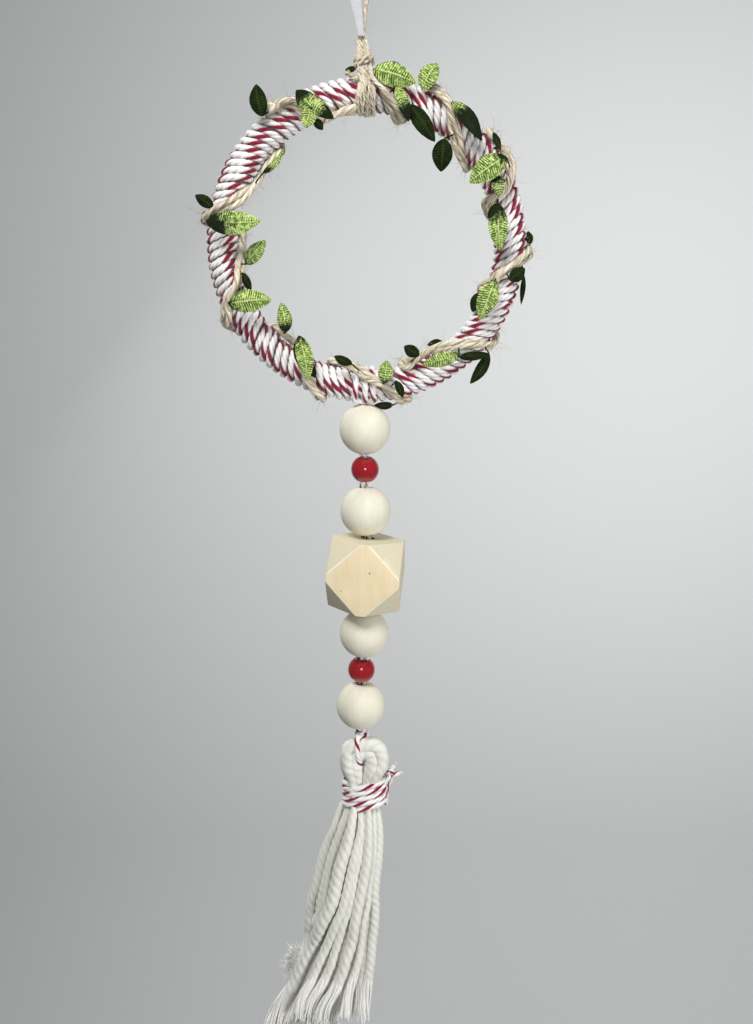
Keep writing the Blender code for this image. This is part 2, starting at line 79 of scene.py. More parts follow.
RING_LOW, RING_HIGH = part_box("twine_wrapped_ring")
RING_TUBE = 6.2 * MM
RING_CENTRE = (RING_LOW + RING_HIGH) / 2
RING_HALF_WIDTH = (RING_HIGH.x - RING_LOW.x) / 2 - RING_TUBE
RING_HALF_HEIGHT = (RING_HIGH.z - RING_LOW.z) / 2 - RING_TUBE

# Rope is laid so that its plies lean like the middle of an S.
LAY = -1
CORNERS_PER_PLY = 5

# The loop's left strand up from the knot and its right strand down to it, as (across, height) in
# millimetres. Between them it turns over the hook in a half circle.
LOOP_RISE = ((-0.8, -26.5), (-0.7, -22.0), (-0.8, -16.5), (-1.5, -11.0), (-3.1, -6.4))
LOOP_FALL = ((3.1, -6.4), (1.7, -11.0), (1.0, -16.5), (0.9, -22.0), (1.1, -26.5))
LOOP_TOP_RADIUS = 3.9 * MM
# Some heights of the strip, each with its middle line and its width there, and how far its middle
# bows forward, all in millimetres.
STRIP_ROWS = ((-22.4, -0.1, 2.3), (-16.0, -1.0, 3.1), (-10.0, -2.2, 4.2), (-3.5, -3.4, 4.2))
STRIP_BOW = 0.35
STRIP_DEPTH = -1.5 * MM
STRIP_THICKNESS = 0.3 * MM
STRIP_EDGE = 0.08 * MM

# The garland cord's way over the front of the ring at each crossing, from the inner edge to the
# outer one, as pixels of the view, anticlockwise from the hanger.
GARLAND_RUNS = (
    ((356, 110), (345, 111), (333, 115), (320, 119), (309, 115), (299, 107), (289, 103.5))
    + ((279, 104), (271, 109)),
    ((280, 153), (274.5, 161), (268, 169), (259, 178.5), (249, 190), (235, 201), (218, 210), (207, 216)),
    ((243, 232), (242.5, 245), (241.5, 258), (239.5, 273), (235.5, 286), (229, 298))
    + ((225.5, 309), (226, 318)),
    ((287, 322), (293, 333), (298, 346), (303, 360), (307, 373), (312, 385), (320, 396)),
    ((334, 360), (342, 362), (351, 366), (359, 370), (366, 376), (376, 382), (386, 387))
    + ((393, 392), (400, 398), (408, 402)),
    ((405, 365), (413, 359), (422, 354), (436, 349.5), (449, 346.5), (465, 344), (481, 344))
    + ((491, 345.5), (497, 347)),
    ((490, 285), (494, 280), (499, 275), (509, 268), (519, 261), (528, 255)),
    ((484, 207), (488, 202), (495, 198), (503, 192), (509, 181), (511.5, 170), (510, 160))
    + ((504, 151), (497, 142), (491, 133)),
    ((466, 166), (462, 158), (459, 148), (456, 136), (452.5, 124), (450, 112), (447, 101))
    + ((441, 93), (433, 87)),
    ((397, 117), (394, 109), (390, 101), (385, 93), (379.5, 85), (374.5, 78)),
)
# Where the cord passes behind the ring between two crossings, in degrees round the tube, and what
# share of the way from one crossing to the next it has gone there.
GARLAND_BEHIND = ((120, 0.17), (180, 0.5), (240, 0.83))
GARLAND_LIFT = 7.25 * MM
GARLAND_STEPS = 10
# The search for where a pixel meets the tube settles in this many rounds.
SEARCH_ROUNDS = 5

# Each leaf's base and tip as pixels of the view, its width, how deep its base and tip lie in
# millimetres behind the ring's middle plane, whether its bright face or its dark back shows, how far
# the painted shade reaches from its base, or the light if it is below 0, and how much it curls. The
# dark back is partly painted shade.
LEAVES = (
    ((262, 116), (256, 84), 6.2, -9.6, -9.0, "back", 0.0, 0.10),
    ((315, 112), (296, 90), 7.0, -11.4, -12.2, "face", -0.52, 0.12),
    ((311, 107), (305, 127), 5.4, -13.0, -13.8, "face", 0.05, -0.10),
    ((308, 98), (334, 119), 5.2, -11.0, -10.8, "face", -0.50, 0.12),
    ((314, 119), (323, 130), 3.2, -10.6, -9.0, "back", 0.0, 0.10),
    ((263, 173), (284, 148), 2.5, -8.6, -6.6, "face", 0.35, -0.20),
    ((213, 207), (195, 195), 4.2, -8.8, -7.4, "back", 0.0, 0.10),
    ((207, 222), (261, 221), 8.5, -12.4, -12.0, "face", 0.38, 0.08),
    ((246, 264), (266, 240), 5.8, -4.0, -6.0, "face", 0.08, 0.10),
    ((243, 273), (251, 292), 3.0, -8.0, -7.0, "back", 0.0, 0.10),
    ((229, 304), (272, 300), 8.1, -11.6, -11.6, "face", 0.12, 0.10),
    ((286, 332), (281, 302), 5.6, -8.0, -5.0, "face", 0.35, -0.10),
    ((296, 341), (316, 378), 6.0, -10.5, -10.1, "back", 0.25, 0.10),
    ((299, 336), (308, 381), 6.2, -11.8, -13.6, "face", 0.15, 0.08),
    ((352, 364), (334, 356), 3.4, -11.4, -9.4, "back", 0.0, 0.10),
    ((384, 383), (387, 360), 5.5, -11.6, -9.0, "face", 0.15, 0.10),
    ((396, 381), (403, 398), 3.0, -11.6, -11.8, "back", 0.0, 0.10),
    ((393, 405), (374, 405), 3.0, -1.0, -2.0, "back", 0.0, 0.10),
    ((419, 355), (404, 346), 4.5, -11.2, -8.6, "back", 0.0, 0.10),
    ((441, 341), (427, 345), 3.0, 4.4, 4.4, "back", 0.0, 0.10),
    ((459, 355), (422, 365), 5.4, -11.6, -11.6, "face", 0.08, 0.08),
    ((459, 357), (490, 354), 3.4, -11.8, -12.0, "back", 0.0, 0.10),
    ((489, 354), (470, 384), 4.4, -9.6, -9.0, "back", 0.0, 0.12),
    ((495, 280), (479, 320), 7.4, -11.6, -11.6, "face", 0.05, 0.08),
    ((480, 293), (472, 312), 5.0, -4.0, -4.0, "back", 0.0, 0.10),
    ((524, 276), (521, 305), 2.0, -3.0, -5.0, "back", 0.0, 0.10),
    ((510, 280), (525, 268), 5.0, -11.4, -9.6, "back", 0.2, 0.10),
    ((530, 244), (528, 231), 3.2, 0.0, 0.0, "back", 0.0, 0.10),
    ((498, 204), (500, 251), 7.0, -11.6, -11.6, "face", 0.36, 0.10),
    ((497, 204), (489, 221), 3.8, -9.2, -7.6, "back", 0.0, 0.10),
    ((506, 157), (469, 183), 8.6, -11.8, -12.0, "face", 0.12, 0.12),
    ((495, 174), (500, 196), 4.6, -10.8, -11.2, "face", 0.45, 0.10),
    ((500, 149), (493, 132), 2.6, -9.8, -8.2, "back", 0.0, 0.10),
    ((453, 102), (482, 141), 5.6, -10.0, -11.6, "face", -0.14, 0.14),
    ((444, 139), (441, 172), 7.4, -8.6, -6.0, "back", 0.0, 0.10),
    ((410, 105), (435, 142), 6.2, -10.2, -9.0, "back", 0.0, 0.10),
    ((397, 86), (409, 122), 4.6, -12.2, -12.2, "face", -0.5, 0.20),
    ((374, 69), (416, 83), 8.3, -10.2, -9.8, "face", -2.0, 0.10),
    ((388, 72), (399, 63), 5.0, -2.6, -2.6, "back", 0.1, 0.10),
    ((422, 89), (438, 63), 6.8, -8.4, -7.0, "face", -2.0, 0.10),
    ((356, 68), (345, 70), 2.2, 5.0, 4.6, "back", 0.0, 0.10),
)
# The hanger's strands at some places round the ring's tube: degrees, with 90 on top and 0 in front,
# and the pixels where the left one and the right one run.
FAN_TURN = (
    (68, 360.0, 371.0),
    (48, 359.5, 372.5),
    (25, 359.0, 373.5),
    (0, 358.0, 373.8),
    (-25, 357.5, 374.0),
    (-55, 357.0, 374.0),
    (-90, 358.0, 373.0),
    (-140, 359.0, 372.0),
    (-190, 359.0, 372.0),
    (-245, 360.0, 371.0),
)
# Where the strands start above the knot: the left one and the right one across, and how high.
FAN_FOOT = (-0.9, 1.5, -22.4)
KNOT_STEPS = 24

LEAF_CELLS_ALONG = 20
LEAF_CELLS_ACROSS = 10
RIB_SPACING = 0.85 * MM

# The tassel's left and right edges down its length, as pixels of the view.
TASSEL_EDGES = (
    (743, 352, 375),
    (747, 347, 381),
    (760, 342, 387),
    (769, 347, 382),
    (776, 350, 378),
    (800, 346, 381),
    (811, 339, 384),
    (828, 329, 385),
    (860, 316, 384),
    (874, 312, 382),
    (902, 304, 380.5),
    (925, 302, 380),
    (942, 304, 378),
    (960, 296, 377),
    (979, 288, 374),
    (997, 275, 371),
    (1016, 264, 371),
    (1028, 259, 371),
)
TASSEL_DEPTH = 4.0 * MM
TASSEL_FLATNESS = 0.72
CORD_SPACING = 0.85 * MM
# The middle of the binding's twine at its left and right sides and in its top and bottom turns.
BINDING_ENDS = ((344.5, 790), (385, 790), (364, 777), (364, 803))
BINDING_TURNS = 5
BINDING_STEPS = 30
BINDING_SLOPE = 1.5 * MM
# The cords that show in front: how thick each is, how far in millimetres it lies behind the others,
# and pixels down its middle line from the binding.
FRONT_CORDS = (
    (
        0.80,
        0.8,
        ((349, 798), (341.5, 806), (334, 828), (328, 842), (323.5, 855), (318.7, 874), (315.5, 888))
        + ((311, 902), (309.5, 915), (309, 925), (308, 942), (304.5, 957), (300, 972)),
    ),
    (
        0.50,
        2.0,
        ((351, 798), (346, 812), (340, 828), (336.5, 842), (333, 856), (328.5, 874), (325.5, 892))
        + ((323, 905), (316, 920), (311, 932), (304, 955)),
    ),
    (
        1.10,
        -0.4,
        ((354, 798), (354, 809), (351, 828), (347, 846), (340.5, 865), (336.5, 883), (332, 902))
        + ((321.5, 923.5), (313.8, 942), (304.5, 960.5), (296.6, 979), (291.5, 988))
        + ((285, 997.5), (276, 1016), (272, 1028)),
    ),
    (
        0.80,
        0.2,
        ((360, 800), (361, 828), (357, 846), (354, 860), (351, 874), (347, 892), (342, 911), (336.5, 923.5))
        + ((326.7, 946.6), (320.2, 960.5), (316, 970), (310.5, 983.6), (303, 997.5), (297, 1020)),
    ),
    (
        0.78,
        0.8,
        ((363, 800), (366, 828), (361, 846), (358.5, 860), (355, 874), (352, 892), (349, 911), (343.8, 923.5))
        + ((336.9, 946.6), (331.8, 965), (328, 974), (323.5, 983.6), (318, 993), (312.4, 1002), (306, 1018)),
    ),
    (
        0.92,
        -0.5,
        ((368, 800), (369, 828), (367.9, 855), (364.8, 874), (361.4, 892), (358.6, 905), (354.9, 923.5))
        + ((351.7, 942), (346, 960.5), (343.4, 970), (339.7, 979), (336, 988), (329.5, 997.5), (324, 1007))
        + ((319.5, 1022),),
    ),
    (
        0.74,
        0.5,
        ((373, 800), (374, 828), (373, 855), (370.5, 874), (368, 892), (367, 905), (363.3, 923.5))
        + ((361.4, 942), (358.7, 960.5), (353, 979), (350.3, 988), (348, 997.5), (347, 1007), (345, 1019)),
    ),
    (
        0.86,
        0.0,
        ((376, 800), (379.5, 828), (378.3, 855), (376, 874), (374.6, 892), (374.8, 905), (374.4, 923.5))
        + ((372, 942), (370.7, 960.5), (367.9, 979), (364.9, 997.5), (362.8, 1020)),
    ),
)
# The cords behind them: how far across the skirt, from -1 to 1, how far behind its middle, from -1
# in front to 1, and the height of the end as a pixel row.
BACK_CORDS = (
    (-0.66, -0.52, 1026),
    (-0.30, -0.62, 1030),
    (0.10, -0.66, 1024),
    (0.50, -0.58, 1019),
    (-0.80, 0.45, 1020),
    (-0.45, 0.80, 1029),
    (-0.05, 0.95, 1026),
    (0.38, 0.85, 1024),
    (0.76, 0.50, 1017),
    (-0.10, 0.35, 1022),
    (0.45, 0.25, 1020),
)
BACK_CORD_ROWS = (796, 814, 840, 870, 900, 935, 970)
# The middle line of a loose tuft at the skirt's left side, as pixels of the view.
TUFT = ((305, 952), (298, 948), (291, 951), (296, 957), (287, 959), (293, 965), (286, 969), (291, 974))
# The cords' folds over the string: how thick they are, how far in millimetres behind the head's
# middle each lies, and pixels from the neck up over the string and down again.
HEAD_FOLDS = (
    (
        1.25,
        (-3.6, 0.0, 3.6),
        ((354, 796), (353, 786), (352, 777), (349, 769), (347.5, 760), (348.5, 751), (352, 746.5), (357, 748))
        + ((362, 746), (371, 744.5), (378, 748), (381.5, 756), (381, 765), (377, 772))
        + ((373, 782), (371, 796)),
    ),
    (
        1.5,
        (-2.6, 4.2),
        ((358, 790), (357, 779), (354.5, 770), (353, 762), (354.5, 754), (358, 753), (361, 752))
        + ((367, 750), (372, 754), (374, 762), (372, 771), (368, 782), (366, 796)),
    ),
    (
        0.9,
        (-1.0, 0.6, 4.0),
        ((360, 784), (359, 772), (358, 762), (362, 760), (366, 760), (367.5, 766))
        + ((365, 774), (362, 784), (362, 796)),
    ),
)
# Where the cords are as thick as they get above the binding, and where the binding grips them.
HEAD_ROW = 766
GRIP_ROW = 780
# The string's end below its knot, as pixels and depths in millimetres. It lies on the head and dives
# in between two folds.
STRING_TAIL = ((357.5, 738, -1.5), (357, 746, -2.6), (357.5, 754, -2.9), (358.5, 760, -1.8))
STRING_TAIL += ((361, 765, 1.0), (364, 770, 4.0))

BEAD_NODES = (
    "wood_bead_1",
    "red_bead_1",
    "wood_bead_2",
    "faceted_bead",
    "wood_bead_3",
    "red_bead_2",
    "wood_bead_4",
)
FACETED_TURN = (0, math.radians(4), math.radians(-5.6))
# Pinholes in the front of the faceted bead, as pixels of the view, and their width in millimetres.
PINHOLES = (
    ((369.5, 573.5), 0.55),
    ((341, 591), 0.45),
    ((377, 549), 0.30),
    ((334, 563.5), 0.30),
    ((382.5, 560.5), 0.25),
    ((388, 608), 0.40),
)

# Each rope's plies: how many it has, and how wide each is as a share of the rope.
TWINE = (4, 0.56)
HANGER = (2, 0.62)
GARLAND = (3, 0.72)
SKIRT = (3, 0.82)
HEAD = (3, 0.9)
STALK = (2, 0.7)
# How a jute strand's own tone follows from its phase and its length in points.
TONE_BY_PHASE = 7.7
TONE_LENGTH = 13
# Loose fibres: how many straight bits each has, and how much it curls from one to the next.
STRAY_STEPS = 5
STRAY_CURL = 0.22
# The fibres of a few cords: how many there are, how far from the cord's middle they start, how long
# they may get, and where their random draw starts, which is given below for the hanger's strands.
LOOP_STRAYS = (70, 0.6 * MM, 6 * MM, 3)
FAN_STRAYS = (14, 0.4 * MM, 5 * MM)
KNOT_STRAYS = (30, 0.6 * MM, 5 * MM, 31)
TUFT_STRAYS = (300, 0.3 * MM, 4.2 * MM, 41)
# Where the other random draws start. Each strand and each leaf adds its own number.
FAN_SEED = 21
FAN_STRAY_SEED = 20
RING_SEED = 11
RING_STRAY_SEED = 12
GARLAND_STRAY_SEED = 5
LEAF_SEED = 100
TASSEL_SEED = 7
# How thick the fibres are.
JUTE_HAIR = 0.07 * MM
GARLAND_HAIR = 0.10 * MM
RING_HAIR = 0.05 * MM
WISP = 0.12 * MM
YARN = 0.7 * MM
TUFT_HAIR = 0.28 * MM

# One turn of the plies of each rope.
LOOP_PITCH = 5.5 * MM
HANGER_PITCH = 5 * MM
GARLAND_PITCH = 13 * MM
STRING_PITCH = 11 * MM
GATHER_PITCH = 10 * MM
KNOT_PITCH = 9 * MM
BINDING_PITCH = 14 * MM
STALK_PITCH = 4 * MM

# The hanger knot's two turns: half their width and depth, how far they lean, how far below the
# middle they start and how far each climbs, and the pixels and depths of its cut end.
KNOT_HALF_WIDTH = 2.9 * MM
KNOT_HALF_DEPTH = 2.3 * MM
KNOT_LEAN = 0.7 * MM
KNOT_START = 1.5 * MM
KNOT_CLIMB = 1.3 * MM
KNOT_TUCK = ((358, 80, -6.8), (352.5, 77, -6.2), (347, 72.5, -5.2))
# How wide in millimetres the hanger's strands lie in the knot, and how far from its middle they go
# in front and behind.
PINCH_WIDTH = 4.4
PINCH_DEPTH = 1.4 * MM
# The pixel row of the ring's top, where the hanger's strands are read.
FAN_ROW = 88

# How far slack in the ring's twine changes its lean, as a share, its place in degrees along the
# ring, its lift, and how far its plies have turned.
SLACK_LEAN = 0.15
SLACK_CLOCK = 0.35
SLACK_LIFT = 0.12 * MM
SLACK_TWIST = 0.24

# How far the garland's upper twine rises where the two cross, as a share of its width, and the least
# share of that which is left at the sides of the ring and behind it.
CROSSING_RISE = 0.8
CROSSING_LEAST = 0.3

# A leaf's relief as shares of its width: the fold along its midrib, its veins and its drooping edges.
LEAF_RIDGE = 0.13
LEAF_VEIN = 0.035
LEAF_DROOP = 0.07
# How often its veins repeat along it and towards its edges, how far its ribs lean, how wide its foot
# is at least, as a share, and how far its base may be from the cord before it needs a stalk.
VEINS_ALONG = 6.5
VEINS_ACROSS = 3.0
RIB_LEAN = 0.12
LEAF_FOOT = 0.16
STALK_LEAST = 1.2 * MM

# The bead string: its width as a share of the ring's twine, where its middle is under the ring, and
# how far each strand lies to the side there and in the beads.
STRING_SHARE = 0.82
STRING_ACROSS = 1.0 * MM
STRING_APART = 0.9 * MM
BORE_APART = 1.12 * MM
# The turns of the string that gather it on the ring, by their clock, and the way that each goes
# round the tube in front and behind.
GATHER_CLOCKS = (184.5, 180.5, 177.5)
GATHER_FRONT = (55, 30, 0, 330)
GATHER_BACK = (305, 270, 235, 180, 150, 125)
GATHER_LIFT = RING_TUBE + 0.25 * MM
GATHER_SPACING = -1.1 * MM
GATHER_DEPTH = 1.2 * MM
STRING_KNOT_STEPS = 40

# The pixel where the binding ends, how thick a cord is there, as a share, and how far below it the
# cord is whole again. In the head a fold is this thick where the binding starts.
GRIP_PIXEL = (364, 802)
GRIP_SHARE = 0.52
GRIP_REACH = 24 * MM
HEAD_GRIP_SHARE = 0.62
# How far under the skirt's surface a cord's middle lies, and the least that it is from the middle.
CORD_SINK = 1.6 * MM
CORD_LEAST = 0.8 * MM
# How thick the cords behind are, and how much of the skirt's width they take.
BACK_CORD_SIZE = 0.9
BACK_CORD_SPREAD = 0.86
# How far a frayed yarn may spread at its tip, as a share of its place in the cord, and how far in
# millimetres it may sway.
YARN_FLARE = (1.0, 1.9)
YARN_SWAY = 0.7
# How much of the frayed length a cord thins over, and by how much.
TAPER_SHARE = 0.35
TAPER_LOSS = 0.45

# The binding: its width as a share of the ring's twine, the angle where it starts, and how thin its
# tie is.
BINDING_SHARE = 0.86
BINDING_START = 2.2
TIE_SIZE = 0.72
# The tie's runs at the binding's right side, as pixels and depths from the tassel's middle. The last
# two are short cut ends, with loose fibres.
TIE_RUNS = (
    ((378, 788, -2.0), (386, 781, -2.5), (390, 774, -1.0), (387, 769, 2.0), (383, 772, 3.0)),
    ((384, 768, 0.0), (389, 769, -2.2), (393, 773, -1.6), (391, 780, 0.0), (387, 789, 1.5), (386, 804, 1.5)),
    ((387, 773, -2.0), (391, 769, -1.4), (394.5, 765, -1.0)),
    ((388, 777, -1.0), (394, 775, -1.4), (399.5, 773, -1.0)),
)
WISPS = 12

# How many percent of each edge of its block the faceted bead's cut corners take.
CORNER_CUT = 45
# How close to an edge of a mesh a vertex counts as on it.
TOUCH = 1e-6

# How far the floor runs each way, how high the wall rises from it, and the bend between them.
FLOOR_REACH = 2.2
WALL_HEIGHT = 2.6
WALL_BEND = 0.35
WORLD_LIGHT = (0.62, 0.64, 0.65, 1)
WORLD_STRENGTH = 0.25
LAMP_AIM = (0.0, 0.0, -0.2)
# Each lamp's name, place, width and watts, what it aims at, and whether gloss mirrors it.
LAMPS = (
    ("key", (-0.144, -0.43, 0.334), 0.30, 4.45, LAMP_AIM, False),
    ("side", (0.60, -0.41, -0.41), 0.30, 3.5, LAMP_AIM, False),
    ("flash", (0.012, -0.40, -0.115), 0.09, 0.30, LAMP_AIM, True),
    ("wall_wash", (0.386, -0.099, -0.05), 0.4, 7.3, (0.72, 0.9, -0.06), False),
    ("back", (-0.45, 0.60, 0.20), 0.4, 2.8, LAMP_AIM, False),
)

# The colour mix node's sockets by number, because several share a name.
MIX_SHARE = 0
MIX_FIRST = 6
MIX_SECOND = 7
MIX_RESULT = 2
# How the wood's grain is turned, and how far it is drawn out.
GRAIN_TURN = (0.4, 0.25, 0.1)
GRAIN_STRETCH = (1.0, 1.0, 0.12)
# Painted shade: the dark tone of the walls of the pinholes and the bore.
HOLE_SHADE_TONE = (0.05, 0.03, 0.015)


def seen_at(x, y, depth=0.0):
    """The point at this depth behind the middle plane that shows at a pixel of the view."""
    ray = VIEW_FORWARD + VIEW_UP * (VIEW_MIDDLE[1] - y) / VIEW_FOCUS
    ray.x += (x - VIEW_MIDDLE[0]) / VIEW_FOCUS
    return VIEW_EYE + ray * (depth - VIEW_EYE.y) / ray.y


def seen_row(row, behind=0.0):
    """The points that show at a row of pixels, with each one's depth in millimetres behind this one."""
    return [seen_at(x, y, (behind + depth) * MM) for x, y, depth in row]


def middle_of(node):
    """The middle of a node's box."""
    low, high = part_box(node)
    return (low + high) / 2


def ring_point(clock, around, lift):
    """A point lift away from the ring's centre line, clock degrees clockwise from the top.

    around runs round the tube, with 0 in front, 90 outside, 180 behind and 270 inside.
    """
    turn, roll = math.radians(clock), math.radians(around)
    out = Vector((math.sin(turn), 0, math.cos(turn)))
    middle = RING_CENTRE + Vector((out.x * RING_HALF_WIDTH, 0, out.z * RING_HALF_HEIGHT))
    return middle + out * lift * math.sin(roll) - Vector((0, lift * math.cos(roll), 0))


def clock_of(point):
    """Degrees clockwise from the ring's top, as seen from the front."""
    offset = point - RING_CENTRE
    return math.degrees(math.atan2(offset.x / RING_HALF_WIDTH, offset.z / RING_HALF_HEIGHT))


def on_ring(x, y, lift):
    """Where a pixel of the view meets this lift from the ring's centre line: its clock and around."""
    depth = -lift
    for _ in range(SEARCH_ROUNDS):
        point = seen_at(x, y, depth)
        clock = clock_of(point)
        out = ring_point(clock, 90, 1.0) - ring_point(clock, 90, 0.0)
        outward = (point - ring_point(clock, 90, 0.0)).dot(out)
        depth = -math.sqrt(max(lift**2 - outward**2, 0.0))
    return clock, math.degrees(math.atan2(outward, -depth))


def spline(points, steps):
    """A smooth row of values or vectors through the given ones, with this many steps between them."""
    padded = [2 * points[0] - points[1], *points, 2 * points[-1] - points[-2]]
    row = []
    for a, b, c, d in zip(padded, padded[1:], padded[2:], padded[3:]):
        for step in range(steps):
            t = step / steps
            rise = (c - a) * t
            bend = (2 * a - 5 * b + 4 * c - d) * t**2
            twist = (3 * b - a - 3 * c + d) * t**3
            row.append((2 * b + rise + bend + twist) / 2)
    return row + [points[-1]]


def even(points, spacing):
    """The same route with points this far apart."""
    places = np.array([tuple(point) for point in points])
    gone = np.concatenate([[0], np.cumsum(np.linalg.norm(np.diff(places, axis=0), axis=1))])
    count = max(2, round(gone[-1] / spacing) + 1)
    marks = np.linspace(0, gone[-1], count)
    columns = [np.interp(marks, gone, places[:, axis]) for axis in range(3)]
    return [Vector(row) for row in np.stack(columns, 1)]


def smooth(points, spacing, steps=6):
    """A smooth route through a few points, in even steps of this length."""
    return even(spline(points, steps), spacing)


def sides_of(points):
    """At each point of a route, its direction and two directions across it that don't turn about it."""
    rows = []
    side = None
    for i, point in enumerate(points):
        ahead = points[min(i + 1, len(points) - 1)] - points[max(i - 1, 0)]
        ahead.normalize()
        if side is None:
            side = ahead.orthogonal()
        side = (side - ahead * side.dot(ahead)).normalized()
        rows.append((ahead, side, ahead.cross(side)))
    return rows


def any_way(draw):
    """A random vector of up to one each way along each axis."""
    return Vector([draw.uniform(-1, 1) for _ in range(3)])


def deselect():
    """Leaves nothing selected."""
    bpy.ops.object.select_all(action="DESELECT")


def only(piece):
    """Makes a piece the one that is selected and active."""
    deselect()
    piece.select_set(True)
    bpy.context.view_layer.objects.active = piece
    return piece


def pick(piece, test):
    """Selects the vertices that pass a test of their place, and what lies between them."""
    mesh = piece.data
    for vert in mesh.vertices:
        vert.select = test(vert.co)
    for edge in mesh.edges:
        edge.select = all(mesh.vertices[i].select for i in edge.vertices)
    for face in mesh.polygons:
        face.select = all(mesh.vertices[i].select for i in face.vertices)


def in_edit(piece, *steps):
    """Runs the steps in edit mode."""
    only(piece)
    bpy.ops.object.mode_set(mode="EDIT")
    for step in steps:
        step()
    bpy.ops.object.mode_set(mode="OBJECT")


def on_all(piece, *steps):
    """Runs the steps in edit mode with the whole mesh selected."""
    in_edit(piece, lambda: bpy.ops.mesh.select_all(action="SELECT"), *steps)


def face_out(piece):
    """Turns the faces of a closed mesh outwards."""
    on_all(piece, lambda: bpy.ops.mesh.normals_make_consistent(inside=False))


def applied(piece, kind, **values):
    """Adds a modifier with these values and applies it."""
    only(piece)
    made = piece.modifiers.new(kind.title(), kind)
    for name, value in values.items():
        setattr(made, name, value)
    bpy.ops.object.modifier_apply(modifier=made.name)


def rounded(piece, width, segments, angle):
    """Rounds the edges of a mesh where it bends by more than this angle."""
    applied(piece, "BEVEL", width=width, segments=segments, limit_method="ANGLE", angle_limit=angle)


def carry(piece, name, values):
    """Gives each point of a mesh a value that its material can read."""
    piece.data.attributes.new(name, "FLOAT", "POINT").data.foreach_set("value", values)


def wear(piece, *finishes):
    """Gives a piece its materials."""
    piece.data.materials.clear()
    for finish in finishes:
        piece.data.materials.append(finish)


def joined(pieces):
    """Several meshes made one, which is left selected and active."""
    deselect()
    for piece in pieces:
        piece.select_set(True)
    bpy.context.view_layer.objects.active = pieces[0]
    if len(pieces) > 1:
        bpy.ops.object.join()
    return bpy.context.object


def hung(pieces, name, slot, *nodes):
    """Makes one finished piece, settles its place into its mesh and hangs it on the frame."""
    piece = joined(pieces)
    bpy.ops.object.transform_apply(location=True, rotation=True, scale=True)
    piece.name = name
    piece.data.name = name
    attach(piece, "root")
    if nodes:
        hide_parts(*nodes)
    return piece


def outline(radius, plies, share):
    """A rope's cross section as a flat curve: plies of this share of its width, pressed together."""
    deselect()
    bpy.ops.curve.primitive_bezier_circle_add()
    made = bpy.context.object
    made.data.splines.clear()
    corners = CORNERS_PER_PLY * plies
    ring = made.data.splines.new("POLY")
    ring.points.add(corners - 1)
    ply = radius * share
    reach = radius - ply
    for i, point in enumerate(ring.points):
        within = ((i * plies / corners) % 1 - 0.5) * 2 * math.pi / plies
        out = reach * math.cos(within) + math.sqrt(ply**2 - (reach * math.sin(within)) ** 2)
        turn = -2 * math.pi * i / corners
        point.co = (out * math.cos(turn), out * math.sin(turn), 0, 1)
    ring.use_cyclic_u = True
    return made


def curve_through(rows):
    """A curve that runs straight from point to point along each row."""
    deselect()
    bpy.ops.curve.primitive_bezier_curve_add()
    made = bpy.context.object
    made.data.splines.clear()
    made.data.dimensions = "3D"
    for row in rows:
        way = made.data.splines.new("POLY")
        way.points.add(len(row) - 1)
        for point, place in zip(way.points, row):
            point.co = (*place, 1)
    return made


def as_mesh(curve, finish):
    """A curve made a mesh that wears a finish."""
    only(curve)
    bpy.ops.object.convert(target="MESH")
    wear(bpy.context.object, finish)
    return bpy.context.object


def strand(route, radius, plies, pitch, finish, sizes=None, phase=0.0, turns=None):
    """Rope along a route, whose cross section turns once in each pitch, or as given, as a mesh.

    Its UV map runs along it in centimetres and once round it with its plies.
    """
    rope = curve_through([route])
    section = outline(radius, *plies)
    gone = 0.0
    last = route[0]
    for i, (point, place) in enumerate(zip(rope.data.splines[0].points, route)):
        gone += (place - last).length
        last = place
        turn = turns[i] if turns else gone / pitch
        point.tilt = math.remainder(phase + LAY * 2 * math.pi * turn, 2 * math.pi)
        point.radius = sizes[i] if sizes else 1.0
    rope.data.bevel_mode = "OBJECT"
    rope.data.bevel_object = section
    rope.data.use_fill_caps = True
    rope = as_mesh(rope, finish)
    bpy.data.objects.remove(section)
    layer = rope.data.uv_layers.active.uv
    places = np.zeros(len(layer) * 2, np.float32)
    layer.foreach_get("vector", places)
    places[0::2] *= gone * 100
    layer.foreach_set("vector", places)
    tone = (TONE_BY_PHASE * phase + len(route) / TONE_LENGTH) % 1
    carry(rope, "strand_tone", [tone] * len(rope.data.vertices))
    return rope


def hairs(rows, thickness, finish, taper=0.75):
    """Fine loose fibres, each a row of points that thins out to its tip, as one mesh."""
    made = curve_through(rows)
    made.data.bevel_depth = thickness / 2
    made.data.bevel_resolution = 0
    for way in made.data.splines:
        for i, point in enumerate(way.points):
            point.radius = 1.0 - taper * i / (len(way.points) - 1)
    return as_mesh(made, finish)


def strays(route, count, start, reach, seed):
    """Fibres that leave a cord's surface and curl away from it."""
    draw = random.Random(seed)
    frames = sides_of(route)
    rows = []
    for _ in range(count):
        i = draw.randrange(1, len(route) - 1)
        ahead, across, other = frames[i]
        turn = draw.uniform(0, 2 * math.pi)
        out = across * math.cos(turn) + other * math.sin(turn)
        way = (out * draw.uniform(0.35, 1.0) + ahead * draw.uniform(-1.2, 1.2)).normalized()
        curl = any_way(draw)
        step = reach * draw.uniform(0.35, 1.0) / STRAY_STEPS
        place = route[i] + out * start
        row = [place.copy()]
        for _ in range(STRAY_STEPS):
            way = (way + curl * STRAY_CURL).normalized()
            place = place + way * step
            row.append(place.copy())
        rows.append(row)
    return rows


